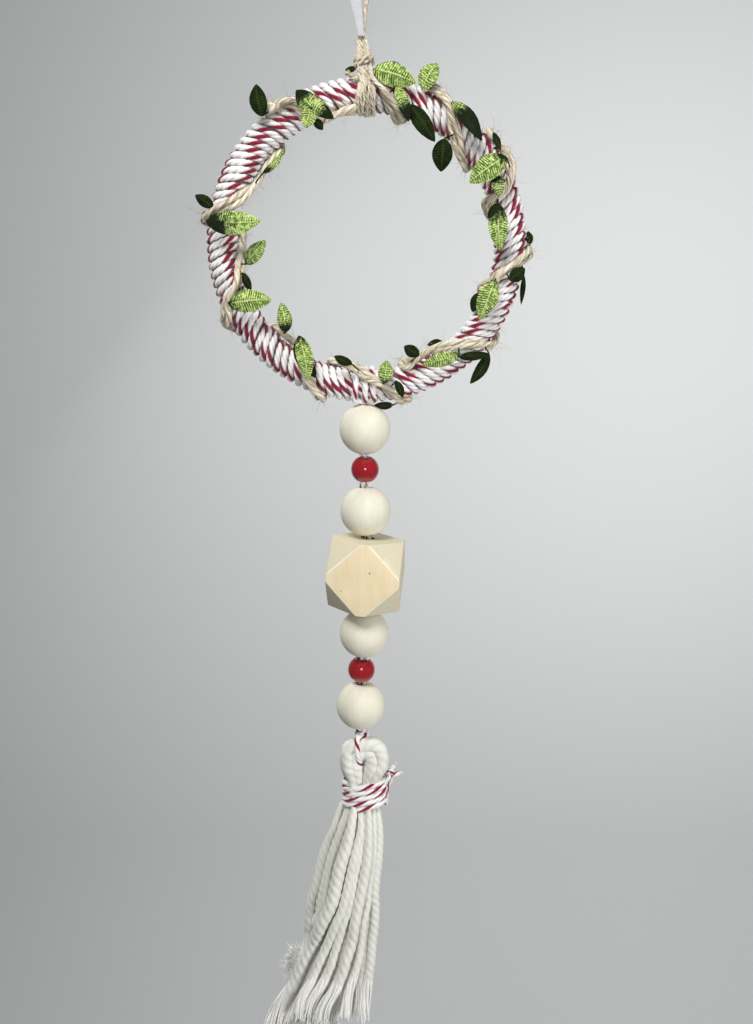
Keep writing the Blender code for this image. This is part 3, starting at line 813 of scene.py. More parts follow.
class Nodes:
    """A node tree under the hand: it adds nodes and feeds their sockets by name."""

    def __init__(self, tree):
        self.tree = tree

    def feed(self, socket, value):
        """Links a socket to another one, or sets its value."""
        if isinstance(value, bpy.types.NodeSocket):
            self.tree.links.new(value, socket)
        else:
            socket.default_value = value

    def dress(self, made, **inputs):
        """Feeds a node's inputs by their names, with _ for a space."""
        for name, value in inputs.items():
            self.feed(made.inputs[name.replace("_", " ")], value)
        return made

    def add(self, kind, **inputs):
        """A new node with its inputs fed."""
        return self.dress(self.tree.nodes.new(kind), **inputs)

    def group(self, effect_group, **inputs):
        """The outputs of a node group placed in this tree."""
        made = self.add("ShaderNodeGroup")
        made.node_tree = effect_group
        return self.dress(made, **inputs).outputs

    def place(self, kind="Object"):
        """Where a point lies, in the piece's own space or in its UV map, or the way it faces."""
        return self.add("ShaderNodeTexCoord").outputs[kind]

    def split(self, vector):
        """A vector's three parts."""
        return self.add("ShaderNodeSeparateXYZ", Vector=vector).outputs

    def carried(self, name):
        """A value that a mesh carries at its points."""
        made = self.add("ShaderNodeAttribute")
        made.attribute_name = name
        return made.outputs["Fac"]

    def maths(self, kind, *values):
        """A Math node's result."""
        made = self.add("ShaderNodeMath")
        made.operation = kind
        for socket, value in zip(made.inputs, values):
            self.feed(socket, value)
        return made.outputs[0]

    def times(self, a, b):
        """Two values multiplied."""
        return self.maths("MULTIPLY", a, b)

    def gap(self, a, b):
        """How far apart two values are."""
        return self.maths("ABSOLUTE", self.maths("SUBTRACT", a, b))

    def jog(self, value, noise, share):
        """A value pushed up and down by a noise."""
        return self.maths("MULTIPLY_ADD", self.maths("SUBTRACT", noise, 0.5), share, value)

    def remap(self, value, low, high, to_low=0.0, to_high=1.0):
        """A value that goes from to_low to to_high as the given one goes from low to high."""
        made = self.add("ShaderNodeMapRange", Value=value, From_Min=low, From_Max=high)
        return self.dress(made, To_Min=to_low, To_Max=to_high).outputs["Result"]

    def mix(self, share, a, b):
        """Two colours mixed."""
        made = self.add("ShaderNodeMix")
        made.data_type = "RGBA"
        self.feed(made.inputs[MIX_SHARE], share)
        for socket, value in ((MIX_FIRST, a), (MIX_SECOND, b)):
            linked = isinstance(value, bpy.types.NodeSocket)
            self.feed(made.inputs[socket], value if linked else (*value[:3], 1))
        return made.outputs[MIX_RESULT]

    def noise(self, place, scale, detail=3.0, roughness=0.55):
        """A noise from 0 to 1."""
        made = self.add("ShaderNodeTexNoise", Vector=place, Scale=scale, Detail=detail, Roughness=roughness)
        return made.outputs["Fac"]

    def dent(self, shader, height, strength, distance):
        """Feeds a height to the shader's normal through a Bump node."""
        bump = self.add("ShaderNodeBump", Height=height, Strength=strength, Distance=distance)
        self.dress(shader, Normal=bump.outputs["Normal"])


def effect(name, inputs, outputs):
    """Turns a function that fills a shader node group into one that gives the group, built once."""

    def given_by(build):
        def once():
            made = bpy.data.node_groups.get(name)
            if made:
                return made
            made = bpy.data.node_groups.new(name, "ShaderNodeTree")
            for socket, kind in inputs.items():
                made.interface.new_socket(name=socket, in_out="INPUT", socket_type=f"NodeSocket{kind}")
            for socket in outputs:
                made.interface.new_socket(name=socket, in_out="OUTPUT", socket_type="NodeSocketFloat")
            results = build(Nodes(made), made.nodes.new("NodeGroupInput").outputs)
            end = made.nodes.new("NodeGroupOutput")
            for socket in outputs:
                made.links.new(results[socket], end.inputs[socket])
            return made

        return once

    return given_by


def material(build):
    """Turns a function that sets up a Principled shader into one that gives its material, built once.

    The first value that the new function takes is the material's name, where several share its way.
    """

    def once(name=build.__name__, *choices, **more):
        made = bpy.data.materials.get(name)
        if made:
            return made
        made = bpy.data.materials.new(name)
        made.use_nodes = True
        shader = made.node_tree.nodes["Principled BSDF"]
        build(Nodes(made.node_tree), shader, colours(), *choices, **more)
        return made

    return once


def colours():
    """The ornament's colours, as the panel has them."""
    return bpy.context.scene.ornament_colours


@effect("Fibre lay", {"Place": "Vector", "Along": "Float", "Across": "Float"}, ("Streak",))
def fibre_lay(nodes, given):
    """Streaks that follow the fibres of a rope."""
    x, y, _ = nodes.split(given["Place"])
    along, across = nodes.times(x, given["Along"]), nodes.times(y, given["Across"])
    place = nodes.add("ShaderNodeCombineXYZ", X=along, Y=across)
    return {"Streak": nodes.noise(place.outputs[0], 1.0, 4.0, 0.62)}


@effect("Ply groove", {"Place": "Vector", "Plies": "Float"}, ("Groove", "Ply"))
def ply_groove(nodes, given):
    """0 on the crest of each ply, 1 in the groove between two, and which ply it is."""
    ply = nodes.times(nodes.split(given["Place"])["Y"], given["Plies"])
    away = nodes.times(nodes.gap(nodes.maths("FRACT", ply), 0.5), 2.0)
    return {"Groove": nodes.maths("POWER", away, 2.5), "Ply": ply}


@effect("Wood grain", {"Place": "Vector"}, ("Grain", "Pore"))
def wood_grain(nodes, given):
    """Long soft streaks of wood, and a few short dark pores."""
    turned = nodes.add("ShaderNodeMapping", Vector=given["Place"], Rotation=GRAIN_TURN, Scale=GRAIN_STRETCH)
    place = turned.outputs[0]
    fine = nodes.noise(place, 1500.0, 2.0, 0.5)
    streak = nodes.maths("MULTIPLY_ADD", fine, 0.35, nodes.times(nodes.noise(place, 330.0, 4.0, 0.6), 0.65))
    pore = nodes.remap(nodes.noise(place, 2600.0, 1.0, 0.4), 0.68, 0.76)
    return {"Grain": streak, "Pore": pore}


@material
def baker_twine(nodes, shader, tones):
    """Cotton twine of four plies, one of them red, with painted shade in its ply grooves and painted shade
    towards the gaps between the ring's turns, where the mesh's sunk_shade value says a point lies deep.
    """
    place = nodes.place("UV")
    streak = nodes.group(fibre_lay(), Place=place, Along=2.2, Across=46.0)["Streak"]
    ply = nodes.group(ply_groove(), Place=place, Plies=4.0)
    wobble = nodes.jog(ply["Ply"], streak, 0.34)
    red = nodes.remap(wobble, 0.90, 1.02, 1.0, 0.0)
    bleed_after = nodes.remap(wobble, 0.8, 1.5, 0.55, 0.0)
    bleed_before = nodes.remap(wobble, 3.6, 4.0, 0.0, 0.45)
    # Painted shade: the twine darkens towards the gap tone and the red shade as it sinks between the turns.
    sunk_shade = nodes.times(nodes.maths("POWER", nodes.carried("sunk_shade"), 2.4), 0.8)
    # Painted shade in the grooves between the plies.
    pale = nodes.mix(nodes.times(ply["Groove"], 0.40), tones.cotton, tones.cotton_shade)
    pale = nodes.mix(nodes.remap(streak, 0.40, 0.80, 0.0, 0.2), pale, tones.cotton_shade)
    pale = nodes.mix(nodes.maths("MAXIMUM", bleed_after, bleed_before), pale, tones.twine_pink)
    pale = nodes.mix(sunk_shade, pale, tones.under)
    # The red ply's painted shade in its grooves.
    deep = nodes.mix(ply["Groove"], tones.twine_red, tones.twine_red_shade)
    deep = nodes.mix(nodes.remap(streak, 0.35, 0.8, 0.0, 0.5), deep, tones.twine_red_shade)
    deep = nodes.mix(sunk_shade, deep, tones.twine_red_shade)
    nodes.dress(shader, Base_Color=nodes.mix(red, pale, deep), Roughness=0.85, Sheen_Weight=0.25)
    nodes.dent(shader, streak, 0.6, 0.25 * MM)


@material
def cotton_rope(nodes, shader, tones):
    """Loosely laid undyed cotton, with painted shade in the grooves between its plies."""
    place = nodes.place("UV")
    streak = nodes.group(fibre_lay(), Place=place, Along=1.3, Across=30.0)["Streak"]
    ply = nodes.group(ply_groove(), Place=place, Plies=3.0)
    # Painted shade in the grooves between the plies.
    tone = nodes.mix(nodes.times(ply["Groove"], 0.45), tones.rope, tones.rope_shade)
    tone = nodes.mix(nodes.remap(streak, 0.35, 0.75, 0.0, 0.45), tone, tones.rope_shade)
    nodes.dress(shader, Base_Color=tone, Roughness=0.9, Sheen_Weight=0.2)
    nodes.dent(shader, streak, 0.6, 0.3 * MM)


@material
def jute_rope(nodes, shader, tones):
    """Rough bast fibre with pale and dark streaks, painted highlights in its pale streaks and painted shade
    in its ply grooves. The mesh carries each strand's own tone.
    """
    place = nodes.place("UV")
    fine = nodes.group(fibre_lay(), Place=place, Along=1.8, Across=13.0)["Streak"]
    broad = nodes.group(fibre_lay(), Place=place, Along=1.0, Across=6.0)["Streak"]
    ply = nodes.group(ply_groove(), Place=place, Plies=3.0)
    own = nodes.remap(nodes.carried("strand_tone"), 0.0, 1.0, -0.05, 0.05)
    dark = nodes.remap(nodes.maths("ADD", fine, own), 0.38, 0.50)
    # Painted highlight: pale streaks that stand for fibres catching the light.
    pale = nodes.remap(nodes.maths("ADD", broad, own), 0.43, 0.56, 0.0, 0.9)
    tone = nodes.mix(pale, nodes.mix(dark, tones.jute_dark_and_shade, tones.jute), tones.jute_pale)
    # Painted shade in the grooves between the plies.
    tone = nodes.mix(nodes.times(ply["Groove"], 0.4), tone, tones.jute_dark_and_shade)
    nodes.dress(shader, Base_Color=tone, Roughness=0.8)
    nodes.dent(shader, fine, 1.0, 0.4 * MM)


@material
def cotton_hair(nodes, shader, tones):
    """Single cotton fibres."""
    patch = nodes.noise(nodes.place(), 400.0, 2.0)
    nodes.dress(shader, Base_Color=nodes.mix(patch, tones.rope, tones.cotton), Roughness=0.9)


@material
def jute_hair(nodes, shader, tones):
    """Single jute fibres."""
    patch = nodes.remap(nodes.noise(nodes.place(), 300.0, 2.0), 0.35, 0.65)
    nodes.dress(shader, Base_Color=nodes.mix(patch, tones.jute_dark_and_shade, tones.jute), Roughness=0.6)


@material
def leaf_satin(nodes, shader, tones, bright):
    """Pressed satin: a midrib, fine ribs across it, and painted shade that reaches out from the base.

    The UV map runs across the leaf and then along it. The mesh carries where each rib lies, how far a
    point is out of the painted shade, and a shift of the threads, so no two leaves are alike. The glints
    on the face are painted highlights, the dark threads between its ribs are painted shade, and the
    near black of the back is partly the back's own colour and partly painted shade.
    """
    across, along, _ = nodes.split(nodes.place("UV"))
    shift = nodes.carried("thread_shift")

    def threads(wide, long, detail=3.0, roughness=0.7):
        """Noise that repeats this often across the leaf and along it."""
        place = nodes.add("ShaderNodeCombineXYZ", X=nodes.times(across, wide), Z=shift)
        nodes.dress(place, Y=nodes.times(along, long))
        return nodes.noise(place.outputs[0], 1.0, detail, roughness)

    half = nodes.gap(across, 0.5)
    midrib = nodes.remap(half, 0.010, 0.040, 1.0, 0.0)
    weave = threads(5.0, 26.0)
    speckle = threads(7.0, 14.0)
    patch = threads(2.2, 3.2, 2.0, 0.5)
    swing = nodes.maths("MULTIPLY_ADD", weave, 8.0, nodes.times(nodes.carried("rib_place"), 2 * math.pi))
    groove = nodes.remap(nodes.maths("SINE", swing), -0.1, 0.75)
    # worn here is painted shade on the threads between the ribs, stronger in patches; on the back the same
    # mask makes the ribs a little paler.
    worn = nodes.times(groove, nodes.remap(patch, 0.38, 0.56, 0.30, 1.0))
    if bright:
        # Painted shade in the furrows beside the midrib.
        furrow = nodes.remap(nodes.gap(half, 0.075), 0.0, 0.035, 1.0, 0.0)
        # Where the painted shade from the base gives way, with ragged edges.
        edge = nodes.jog(nodes.jog(nodes.carried("out_of_shade"), patch, 0.6), speckle, 0.5)
        # Painted glints: speckled threads in the glint colour.
        tone = nodes.mix(nodes.remap(speckle, 0.44, 0.56), tones.leaf, tones.leaf_glint)
        tone = nodes.mix(worn, tone, tones.leaf_thread_shade)
        tone = nodes.mix(nodes.times(furrow, 0.45), tone, tones.leaf_thread_shade)
        # Painted highlight along the midrib, in the glint colour.
        tone = nodes.mix(nodes.times(midrib, 0.75), tone, tones.leaf_glint)
        # The base's painted shade, with the ribs still showing.
        shaded = nodes.mix(nodes.times(groove, 0.35), tones.leaf_dark, tones.leaf_thread_shade)
        tone = nodes.mix(nodes.remap(edge, -0.12, 0.12), shaded, tone)
    else:
        # The back: near black, partly its own colour and partly painted shade, its ribs and midrib a little
        # paler.
        pale = nodes.maths("MAXIMUM", nodes.times(worn, 0.13), nodes.times(midrib, 0.16))
        tone = nodes.mix(pale, tones.leaf_dark, tones.leaf)
    nodes.dress(shader, Base_Color=tone, Roughness=nodes.remap(weave, 0.35, 0.65, 0.6, 0.42))
    nodes.dress(shader, Specular_IOR_Level=0.4 if bright else 0.15)
    height = nodes.maths("MULTIPLY_ADD", midrib, 0.8, nodes.times(groove, -0.5))
    nodes.dent(shader, height, 0.6 if bright else 0.4, 0.2 * MM)


@material
def bare_wood(nodes, shader, tones, light, dark, cut_across=None):
    """Sanded wood with no varnish.

    A faceted piece takes the cut_across colour on the facets that don't face front or back, and the
    edges between the two kinds are rubbed pale.
    """
    place = nodes.place()
    grain = nodes.group(wood_grain(), Place=place)
    patch = nodes.noise(place, 90.0, 2.0)
    tone = nodes.mix(nodes.remap(grain["Grain"], 0.35, 0.68), light, dark)
    tone = nodes.mix(nodes.remap(patch, 0.4, 0.7, 0.0, 0.35), tone, dark)
    if cut_across:
        front = nodes.maths("ABSOLUTE", nodes.split(nodes.place("Normal"))["Y"])
        side = nodes.mix(nodes.remap(grain["Grain"], 0.35, 0.68, 0.0, 0.35), cut_across, dark)
        tone = nodes.mix(nodes.remap(front, 0.72, 0.88, 1.0, 0.0), tone, side)
        rim = nodes.times(nodes.remap(front, 0.66, 0.74), nodes.remap(front, 0.92, 0.98, 1.0, 0.0))
        rubbed = nodes.times(rim, nodes.remap(patch, 0.3, 0.6, 0.3, 0.9))
        tone = nodes.mix(rubbed, tone, tones.facet_rubbed)
    tone = nodes.mix(nodes.times(grain["Pore"], 0.25), tone, dark)
    nodes.dress(shader, Base_Color=tone, Roughness=nodes.remap(grain["Grain"], 0.3, 0.7, 0.50, 0.62))
    nodes.dent(shader, grain["Grain"], 0.25, 0.1 * MM)


@material
def plain(nodes, shader, tones, tone, roughness, ripple, coat=0.0):
    """A smooth finish with a faint unevenness."""
    patch = nodes.noise(nodes.place(), 260.0, 3.0)
    dark = tuple(0.8 * part for part in tone[:3])
    nodes.dress(shader, Base_Color=nodes.mix(nodes.remap(patch, 0.3, 0.7, 0.0, 0.5), tone, dark))
    nodes.dress(shader, Roughness=roughness, Coat_Weight=coat, Coat_Roughness=0.06)
    nodes.dent(shader, patch, 0.15, ripple)


@material
def matt_wall(nodes, shader, tones):
    """Plain matt paint."""
    nodes.dress(shader, Base_Color=(*tones.backdrop, 1), Roughness=0.9, Specular_IOR_Level=0.1)


def length_value(name, text, value):
    """A length in the panel."""
    return FloatProperty(name=name, description=text, default=value, unit="LENGTH", precision=5)


def count_value(name, text, value, low, high):
    """A whole number in the panel."""
    return IntProperty(name=name, description=text, default=value, min=low, max=high)


def colour_value(name, text, value):
    """A colour in the panel."""
    return FloatVectorProperty(name=name, description=text, default=value, min=0, max=1, subtype="COLOR")


class OrnamentColours(bpy.types.PropertyGroup):
    """The colours of the finishes."""

    cotton: colour_value("Cotton", "Undyed cotton on the crests of its plies", (0.93, 0.91, 0.90))
    # Painted shade for the cotton in its ply grooves, also used for its darker fibre streaks.
    cotton_shade: colour_value("Cotton shade", "Undyed cotton between its plies", (0.46, 0.39, 0.40))
    rope: colour_value("Rope", "The tassel's cotton cords", (0.79, 0.79, 0.72))
    # Painted shade for the cords in their ply grooves, also used for their darker fibre streaks.
    rope_shade: colour_value("Rope shade", "The cords between their plies", (0.58, 0.57, 0.51))
    # Painted shade: the dark tone between the ring's turns, on the tube beneath them and where the twine
    # sinks.
    under: colour_value("Under the twine", "What shows between the ring's turns", (0.16, 0.09, 0.09))
    twine_red: colour_value("Twine red", "The twine's dyed ply", (0.29, 0.008, 0.040))
    twine_pink: colour_value("Twine pink", "Cotton beside the dyed ply", (0.82, 0.50, 0.52))
    # Painted shade for the red ply in its grooves and between the ring's turns.
    twine_red_shade: colour_value("Twine red shade", "The dyed ply in its grooves", (0.11, 0.004, 0.018))
    jute: colour_value("Jute", "Most of the jute", (0.72, 0.62, 0.45))
    # Painted highlight: the pale jute streaks.
    jute_pale: colour_value("Pale jute", "Jute fibres that catch the light", (0.90, 0.84, 0.69))
    # Dark jute fibres, and painted shade in the jute's ply grooves.
    jute_dark_and_shade: colour_value("Dark jute", "Jute in its grooves", (0.17, 0.125, 0.075))
    # Painted shade on satin threads that lie away from the light.
    leaf_thread_shade: colour_value("Deep leaf", "Satin threads that lie away from the light", (0.022, 0.048, 0.008))
    leaf: colour_value("Leaf", "A leaf's face", (0.17, 0.27, 0.05))
    # Painted highlight on satin threads that catch the light.
    leaf_glint: colour_value("Leaf glint", "Satin threads that catch the light", (0.60, 0.73, 0.26))
    # The leaf's back, partly its own colour and partly painted shade, and the painted shade at a face's base.
    leaf_dark: colour_value("Leaf back", "A leaf's back and its shaded base", (0.006, 0.011, 0.004))
    wood: colour_value("Wood", "A round wooden bead", (0.77, 0.75, 0.63))
    wood_dark: colour_value("Dark wood", "Its grain", (0.69, 0.65, 0.52))
    facet: colour_value("Faceted wood", "The faceted bead", (0.76, 0.65, 0.44))
    facet_dark: colour_value("Dark faceted wood", "Its grain", (0.70, 0.57, 0.35))
    facet_across: colour_value("Crosscut wood", "Its facets that cut across the grain", (0.645, 0.60, 0.445))
    facet_rubbed: colour_value("Rubbed wood", "Its worn edges", (0.90, 0.86, 0.74))
    red_bead: colour_value("Red bead", "Gloss paint", (0.30, 0.008, 0.013))
    strip: colour_value("Strip", "The bare strip on the loop", (0.50, 0.51, 0.53))
    backdrop: colour_value("Backdrop", "The wall and the floor", (0.64, 0.65, 0.65))


class TwineSizes(bpy.types.PropertyGroup):
    """The red and white twine."""

    width: length_value("Twine width", "Across the twine", 2.85 * MM)
    wraps: count_value("Wraps", "Turns of twine round the ring", 112, 60, 160)
    steps: count_value("Steps", "Points in each wrap", 30, 12, 40)
    lean: FloatProperty(name="Lean", description="Degrees along the ring from inside to front", default=3.6)
    twists: FloatProperty(name="Twists", description="Turns of the plies in each wrap", default=3.06)
    fuzz: count_value("Fuzz", "Loose cotton fibres on the ring", 900, 1, 3000)


class GarlandSizes(bpy.types.PropertyGroup):
    """The jute and the leaves."""

    twine: length_value("Jute width", "Across one jute twine", 1.75 * MM)
    thread: length_value("Thread width", "Across one strand of the hanger", 1.25 * MM)
    fan: count_value("Hanger strands", "Strands over the ring's top", 9, 2, 14)
    cord: length_value("Cord twine width", "Across one of the garland's two twines", 2.4 * MM)
    pitch: length_value("Jute pitch", "One turn of the two twines about each other", 36 * MM)
    leaf_thickness: length_value("Leaf thickness", "Through the satin", 0.28 * MM)
    stray_count: count_value("Stray fibres", "Loose jute fibres on the garland", 1000, 1, 3000)


class BeadSizes(bpy.types.PropertyGroup):
    """The beads."""

    bore: length_value("Bore", "Across the hole", 5.0 * MM)
    rim: length_value("Rim", "Rounding at the hole's edge", 0.35 * MM)
    facet_width: length_value("Faceted width", "Across the faceted bead", 28.3 * MM)
    facet_height: length_value("Faceted height", "Down the faceted bead", 28.0 * MM)
    facet_edge: length_value("Faceted edge", "How far its edges are worn round", 0.45 * MM)


class TasselSizes(bpy.types.PropertyGroup):
    """The tassel."""

    width: length_value("Cord width", "Across one cotton cord", 5.2 * MM)
    pitch: length_value("Cord pitch", "One turn of its plies", 10.5 * MM)
    fray: length_value("Fray", "How far a cord's end is loose", 23 * MM)
    yarns: count_value("Yarns", "Loose yarns at each cord's end", 105, 8, 120)


class StageSizes(bpy.types.PropertyGroup):
    """The wall and the floor."""

    wall: length_value("Wall", "How far behind the ornament the wall is", 0.9)
    floor: length_value("Floor", "How far below the loop the floor is", 1.15)


class ORNAMENT_OT_stage(bpy.types.Operator):
    """Makes the camera, the lights, the wall and the floor"""

    bl_idname = "ornament.stage"
    bl_label = "Stage"

    def execute(self, context):
        deselect()
        bpy.ops.object.camera_add(location=VIEW_EYE)
        camera = context.object
        camera.name = "view"
        camera.rotation_euler = (math.pi / 2 - VIEW_TILT, 0, 0)
        camera.data.sensor_width = SENSOR
        camera.data.lens = SENSOR * VIEW_FOCUS / VIEW_SIZE[1]
        camera.data.clip_start = VIEW_NEAR
        context.scene.camera = camera
        self.backdrop(context.scene.ornament_stage)
        for lamp in LAMPS:
            self.light(*lamp)
        world = context.scene.world or bpy.data.worlds.new("World")
        context.scene.world = world
        world.use_nodes = True
        sky = world.node_tree.nodes["Background"].inputs
        sky["Color"].default_value = WORLD_LIGHT
        sky["Strength"].default_value = WORLD_STRENGTH
        context.scene.view_settings.view_transform = "Standard"
        return {"FINISHED"}

    def light(self, name, place, size, power, aim, shine):
        """A round lamp that isn't seen itself."""
        bpy.ops.object.light_add(type="AREA", location=place)
        lamp = bpy.context.object
        lamp.name = name
        lamp.data.shape = "DISK"
        lamp.data.size = size
        lamp.data.energy = power
        lamp.visible_glossy = shine
        lamp.visible_camera = False
        lamp.rotation_euler = (Vector(aim) - Vector(place)).to_track_quat("-Z", "Y").to_euler()

    def backdrop(self, sizes):
        """A floor that turns up into a wall."""
        middle = (0, sizes.wall - FLOOR_REACH, -sizes.floor)
        bpy.ops.mesh.primitive_plane_add(size=2 * FLOOR_REACH, location=middle)
        wall = bpy.context.object
        bpy.ops.object.transform_apply(location=True)
        pick(wall, lambda place: place.y > 0)
        rise = {"value": (0, 0, WALL_HEIGHT)}
        in_edit(wall, lambda: bpy.ops.mesh.extrude_region_move(TRANSFORM_OT_translate=rise))
        rounded(wall, WALL_BEND, 12, 0.5)
        bpy.ops.object.shade_smooth()
        wall.name = "backdrop"
        wear(wall, matt_wall("backdrop"))


class ORNAMENT_OT_hanging_loop(bpy.types.Operator):
    """Makes the jute loop that the ornament hangs by, and the bare strip on it"""

    bl_idname = "ornament.hanging_loop"
    bl_label = "Hanging loop"

    def execute(self, context):
        sizes = context.scene.ornament_garland
        top = Vector((0, 0, sizes.twine / 2 - LOOP_TOP_RADIUS))
        places = [Vector((x, 0, z)) * MM for x, z in LOOP_RISE]
        for degrees in range(180, -1, -36):
            angle = math.radians(degrees)
            places.append(Vector((math.cos(angle), 0, math.sin(angle))) * LOOP_TOP_RADIUS + top)
        places += [Vector((x, 0, z)) * MM for x, z in LOOP_FALL]
        route = smooth(places, 0.5 * MM)
        twine = strand(route, sizes.twine / 2, HANGER, LOOP_PITCH, jute_rope())
        loop = hung([twine], "hanging_loop_twine", "jute", "hanging_loop")
        hair = hairs(strays(route, *LOOP_STRAYS), JUTE_HAIR, jute_hair())
        hair = hung([hair], "loop_fibres", "jute")
        bare = self.strip()
        return {"FINISHED"}

    def strip(self):
        """A narrow bare strip of stiff film that lies on the front of the loop's left strand."""
        deselect()
        bpy.ops.mesh.primitive_grid_add(x_subdivisions=8, y_subdivisions=24, size=1)
        bare = bpy.context.object
        heights, middles, widths = zip(*STRIP_ROWS)
        for vert in bare.data.vertices:
            height = heights[0] + (heights[-1] - heights[0]) * (vert.co.y + 0.5)
            middle = np.interp(height, heights, middles)
            width = np.interp(height, heights, widths)
            bow = STRIP_BOW * (1 - (2 * vert.co.x) ** 2)
            vert.co = Vector(((middle + vert.co.x * width), STRIP_DEPTH / MM - bow, height)) * MM
        applied(bare, "SOLIDIFY", thickness=STRIP_THICKNESS, offset=0)
        rounded(bare, STRIP_EDGE, 2, math.radians(30))
        bpy.ops.object.shade_smooth_by_angle(angle=math.radians(40))
        wear(bare, plain("bare_strip", colours().strip, 0.45, 0.05 * MM))
        return hung([bare], "bare_strip", "bare_label", "label_strip")


class ORNAMENT_OT_hanger(bpy.types.Operator):
    """Makes the jute that is knotted above the ring and wrapped over its top"""

    bl_idname = "ornament.hanger"
    bl_label = "Hanger"

    def execute(self, context):
        sizes = context.scene.ornament_garland
        draw = random.Random(FAN_SEED)
        knot = middle_of("hanger_knot")
        strands = []
        rows = []
        for i in range(sizes.fan):
            route = self.fan_route(i / (sizes.fan - 1), knot, sizes.thread, draw)
            strands.append(strand(route, sizes.thread / 2, HANGER, HANGER_PITCH, jute_rope(), phase=1.3 * i))
            rows += strays(route, *FAN_STRAYS, FAN_STRAY_SEED + i)
        hung(strands, "hanger_wrap_strands", "jute", "hanger_wrap")
        band = 0.6 * sizes.twine
        route = self.knot_route(knot)
        turns = strand(route, band, HANGER, HANGER_PITCH, jute_rope())
        rows += strays(route, *KNOT_STRAYS)
        route = smooth(seen_row(KNOT_TUCK), 0.4 * MM)
        end = strand(route, band, HANGER, HANGER_PITCH, jute_rope(), sizes=[1.1] * len(route))
        hung([turns, end], "hanger_knot_turns", "jute", "hanger_knot")
        hung([hairs(rows, JUTE_HAIR, jute_hair())], "hanger_fibres", "jute")
        return {"FINISHED"}

    def knot_route(self, knot):
        """Two leaning turns round the knot's middle."""
        row = []
        for i in range(2 * KNOT_STEPS + 1):
            angle = 2 * math.pi * i / KNOT_STEPS - 0.6
            turn = i / KNOT_STEPS
            x = knot.x + KNOT_HALF_WIDTH * math.cos(angle)
            y = knot.y - KNOT_HALF_DEPTH * math.sin(angle)
            lean = KNOT_LEAN * math.cos(angle)
            row.append(Vector((x, y, knot.z - KNOT_START + KNOT_CLIMB * turn + lean)))
        return even(row, 0.5 * MM)

    def fan_route(self, share, knot, thread, draw):
        """One strand from the loop's foot through the knot, down over the ring's front and up behind it."""
        top = RING_CENTRE.z + RING_HALF_HEIGHT
        reach = RING_TUBE + thread / 2
        waver = [draw.uniform(-0.5, 0.5) * MM for _ in FAN_TURN]
        reach += draw.uniform(-0.1, 0.5) * MM
        foot = (FAN_FOOT[0] + (FAN_FOOT[1] - FAN_FOOT[0]) * share) * MM
        pinch = knot.x + (share - 0.5) * PINCH_WIDTH * MM
        places = [Vector((foot, draw.uniform(-0.3, 0.8) * MM, FAN_FOOT[2] * MM))]
        places.append(Vector((pinch, -PINCH_DEPTH, knot.z)))
        for (around, left, right), aside in zip(FAN_TURN, waver):
            x = seen_at(left + (right - left) * share, FAN_ROW, -reach).x + aside
            roll = math.radians(around)
            places.append(Vector((x, -reach * math.cos(roll), top + reach * math.sin(roll))))
        places.append(Vector((pinch, PINCH_DEPTH, knot.z)))
        return smooth(places, 0.45 * MM, 5)


class ORNAMENT_OT_ring_wrap(bpy.types.Operator):
    """Wraps the ring in red and white twine"""

    bl_idname = "ornament.ring_wrap"
    bl_label = "Ring wrap"

    def execute(self, context):
        sizes = context.scene.ornament_twine
        lift = RING_TUBE - sizes.width / 2
        route, turns = self.winding(sizes, lift)
        twine = strand(route, sizes.width / 2, TWINE, None, baker_twine(), turns=turns)
        # Painted shade: how deep each point lies below the tube's surface, which darkens the twine towards
        # the gaps.
        sunk_shade = []
        for vert in twine.data.vertices:
            out = (vert.co - ring_point(clock_of(vert.co), 0, 0)).length
            sunk_shade.append(max(0.0, min(1.0, (RING_TUBE - out) / (0.5 * sizes.width))))
        carry(twine, "sunk_shade", sunk_shade)
        hung([twine, self.under(lift)], "ring_twine", "red_white_twine", "twine_wrapped_ring")
        rows = strays(route, sizes.fuzz, 0.45 * sizes.width, 2.5 * MM, RING_STRAY_SEED)
        hung([hairs(rows, RING_HAIR, cotton_hair())], "ring_fibres", "red_white_twine")
        return {"FINISHED"}

    def winding(self, sizes, lift):
        """The twine's way round the tube and round the ring, and how far its plies have turned."""
        draw = random.Random(RING_SEED)
        loose = [draw.uniform(-1, 1) for _ in range(sizes.wraps + 2)]
        route = []
        turns = []
        for i in range(sizes.wraps * sizes.steps + 1):
            turn = i / sizes.steps
            slack = np.interp(turn, range(len(loose)), loose)
            around = 360 * (turn % 1)
            middle = 180 + 360 * turn / sizes.wraps
            lean = sizes.lean * (1 + SLACK_LEAN * math.sin(math.radians(middle))) * (1 + SLACK_LEAN * slack)
            clock = middle - lean * math.sin(math.radians(around)) + SLACK_CLOCK * slack
            route.append(ring_point(clock, around, lift + SLACK_LIFT * slack))
            turns.append(sizes.twists * turn + SLACK_TWIST * slack)
        return route, turns

    def under(self, lift):
        """A smooth tube that closes the gaps between the turns, painted dark to stand for the shade there."""
        deselect()
        radii = {"major_radius": RING_HALF_WIDTH, "minor_radius": lift}
        bpy.ops.mesh.primitive_torus_add(major_segments=144, minor_segments=16, **radii)
        tube = bpy.context.object
        for vert in tube.data.vertices:
            clock = math.degrees(math.atan2(vert.co.x, vert.co.y))
            inward = math.hypot(vert.co.x, vert.co.y) - RING_HALF_WIDTH
            around = math.degrees(math.atan2(inward, vert.co.z))
            vert.co = ring_point(clock, around, lift)
        face_out(tube)
        bpy.ops.object.shade_smooth()
        wear(tube, plain("under_twine", colours().under, 0.95, 0.05 * MM))
        return tube


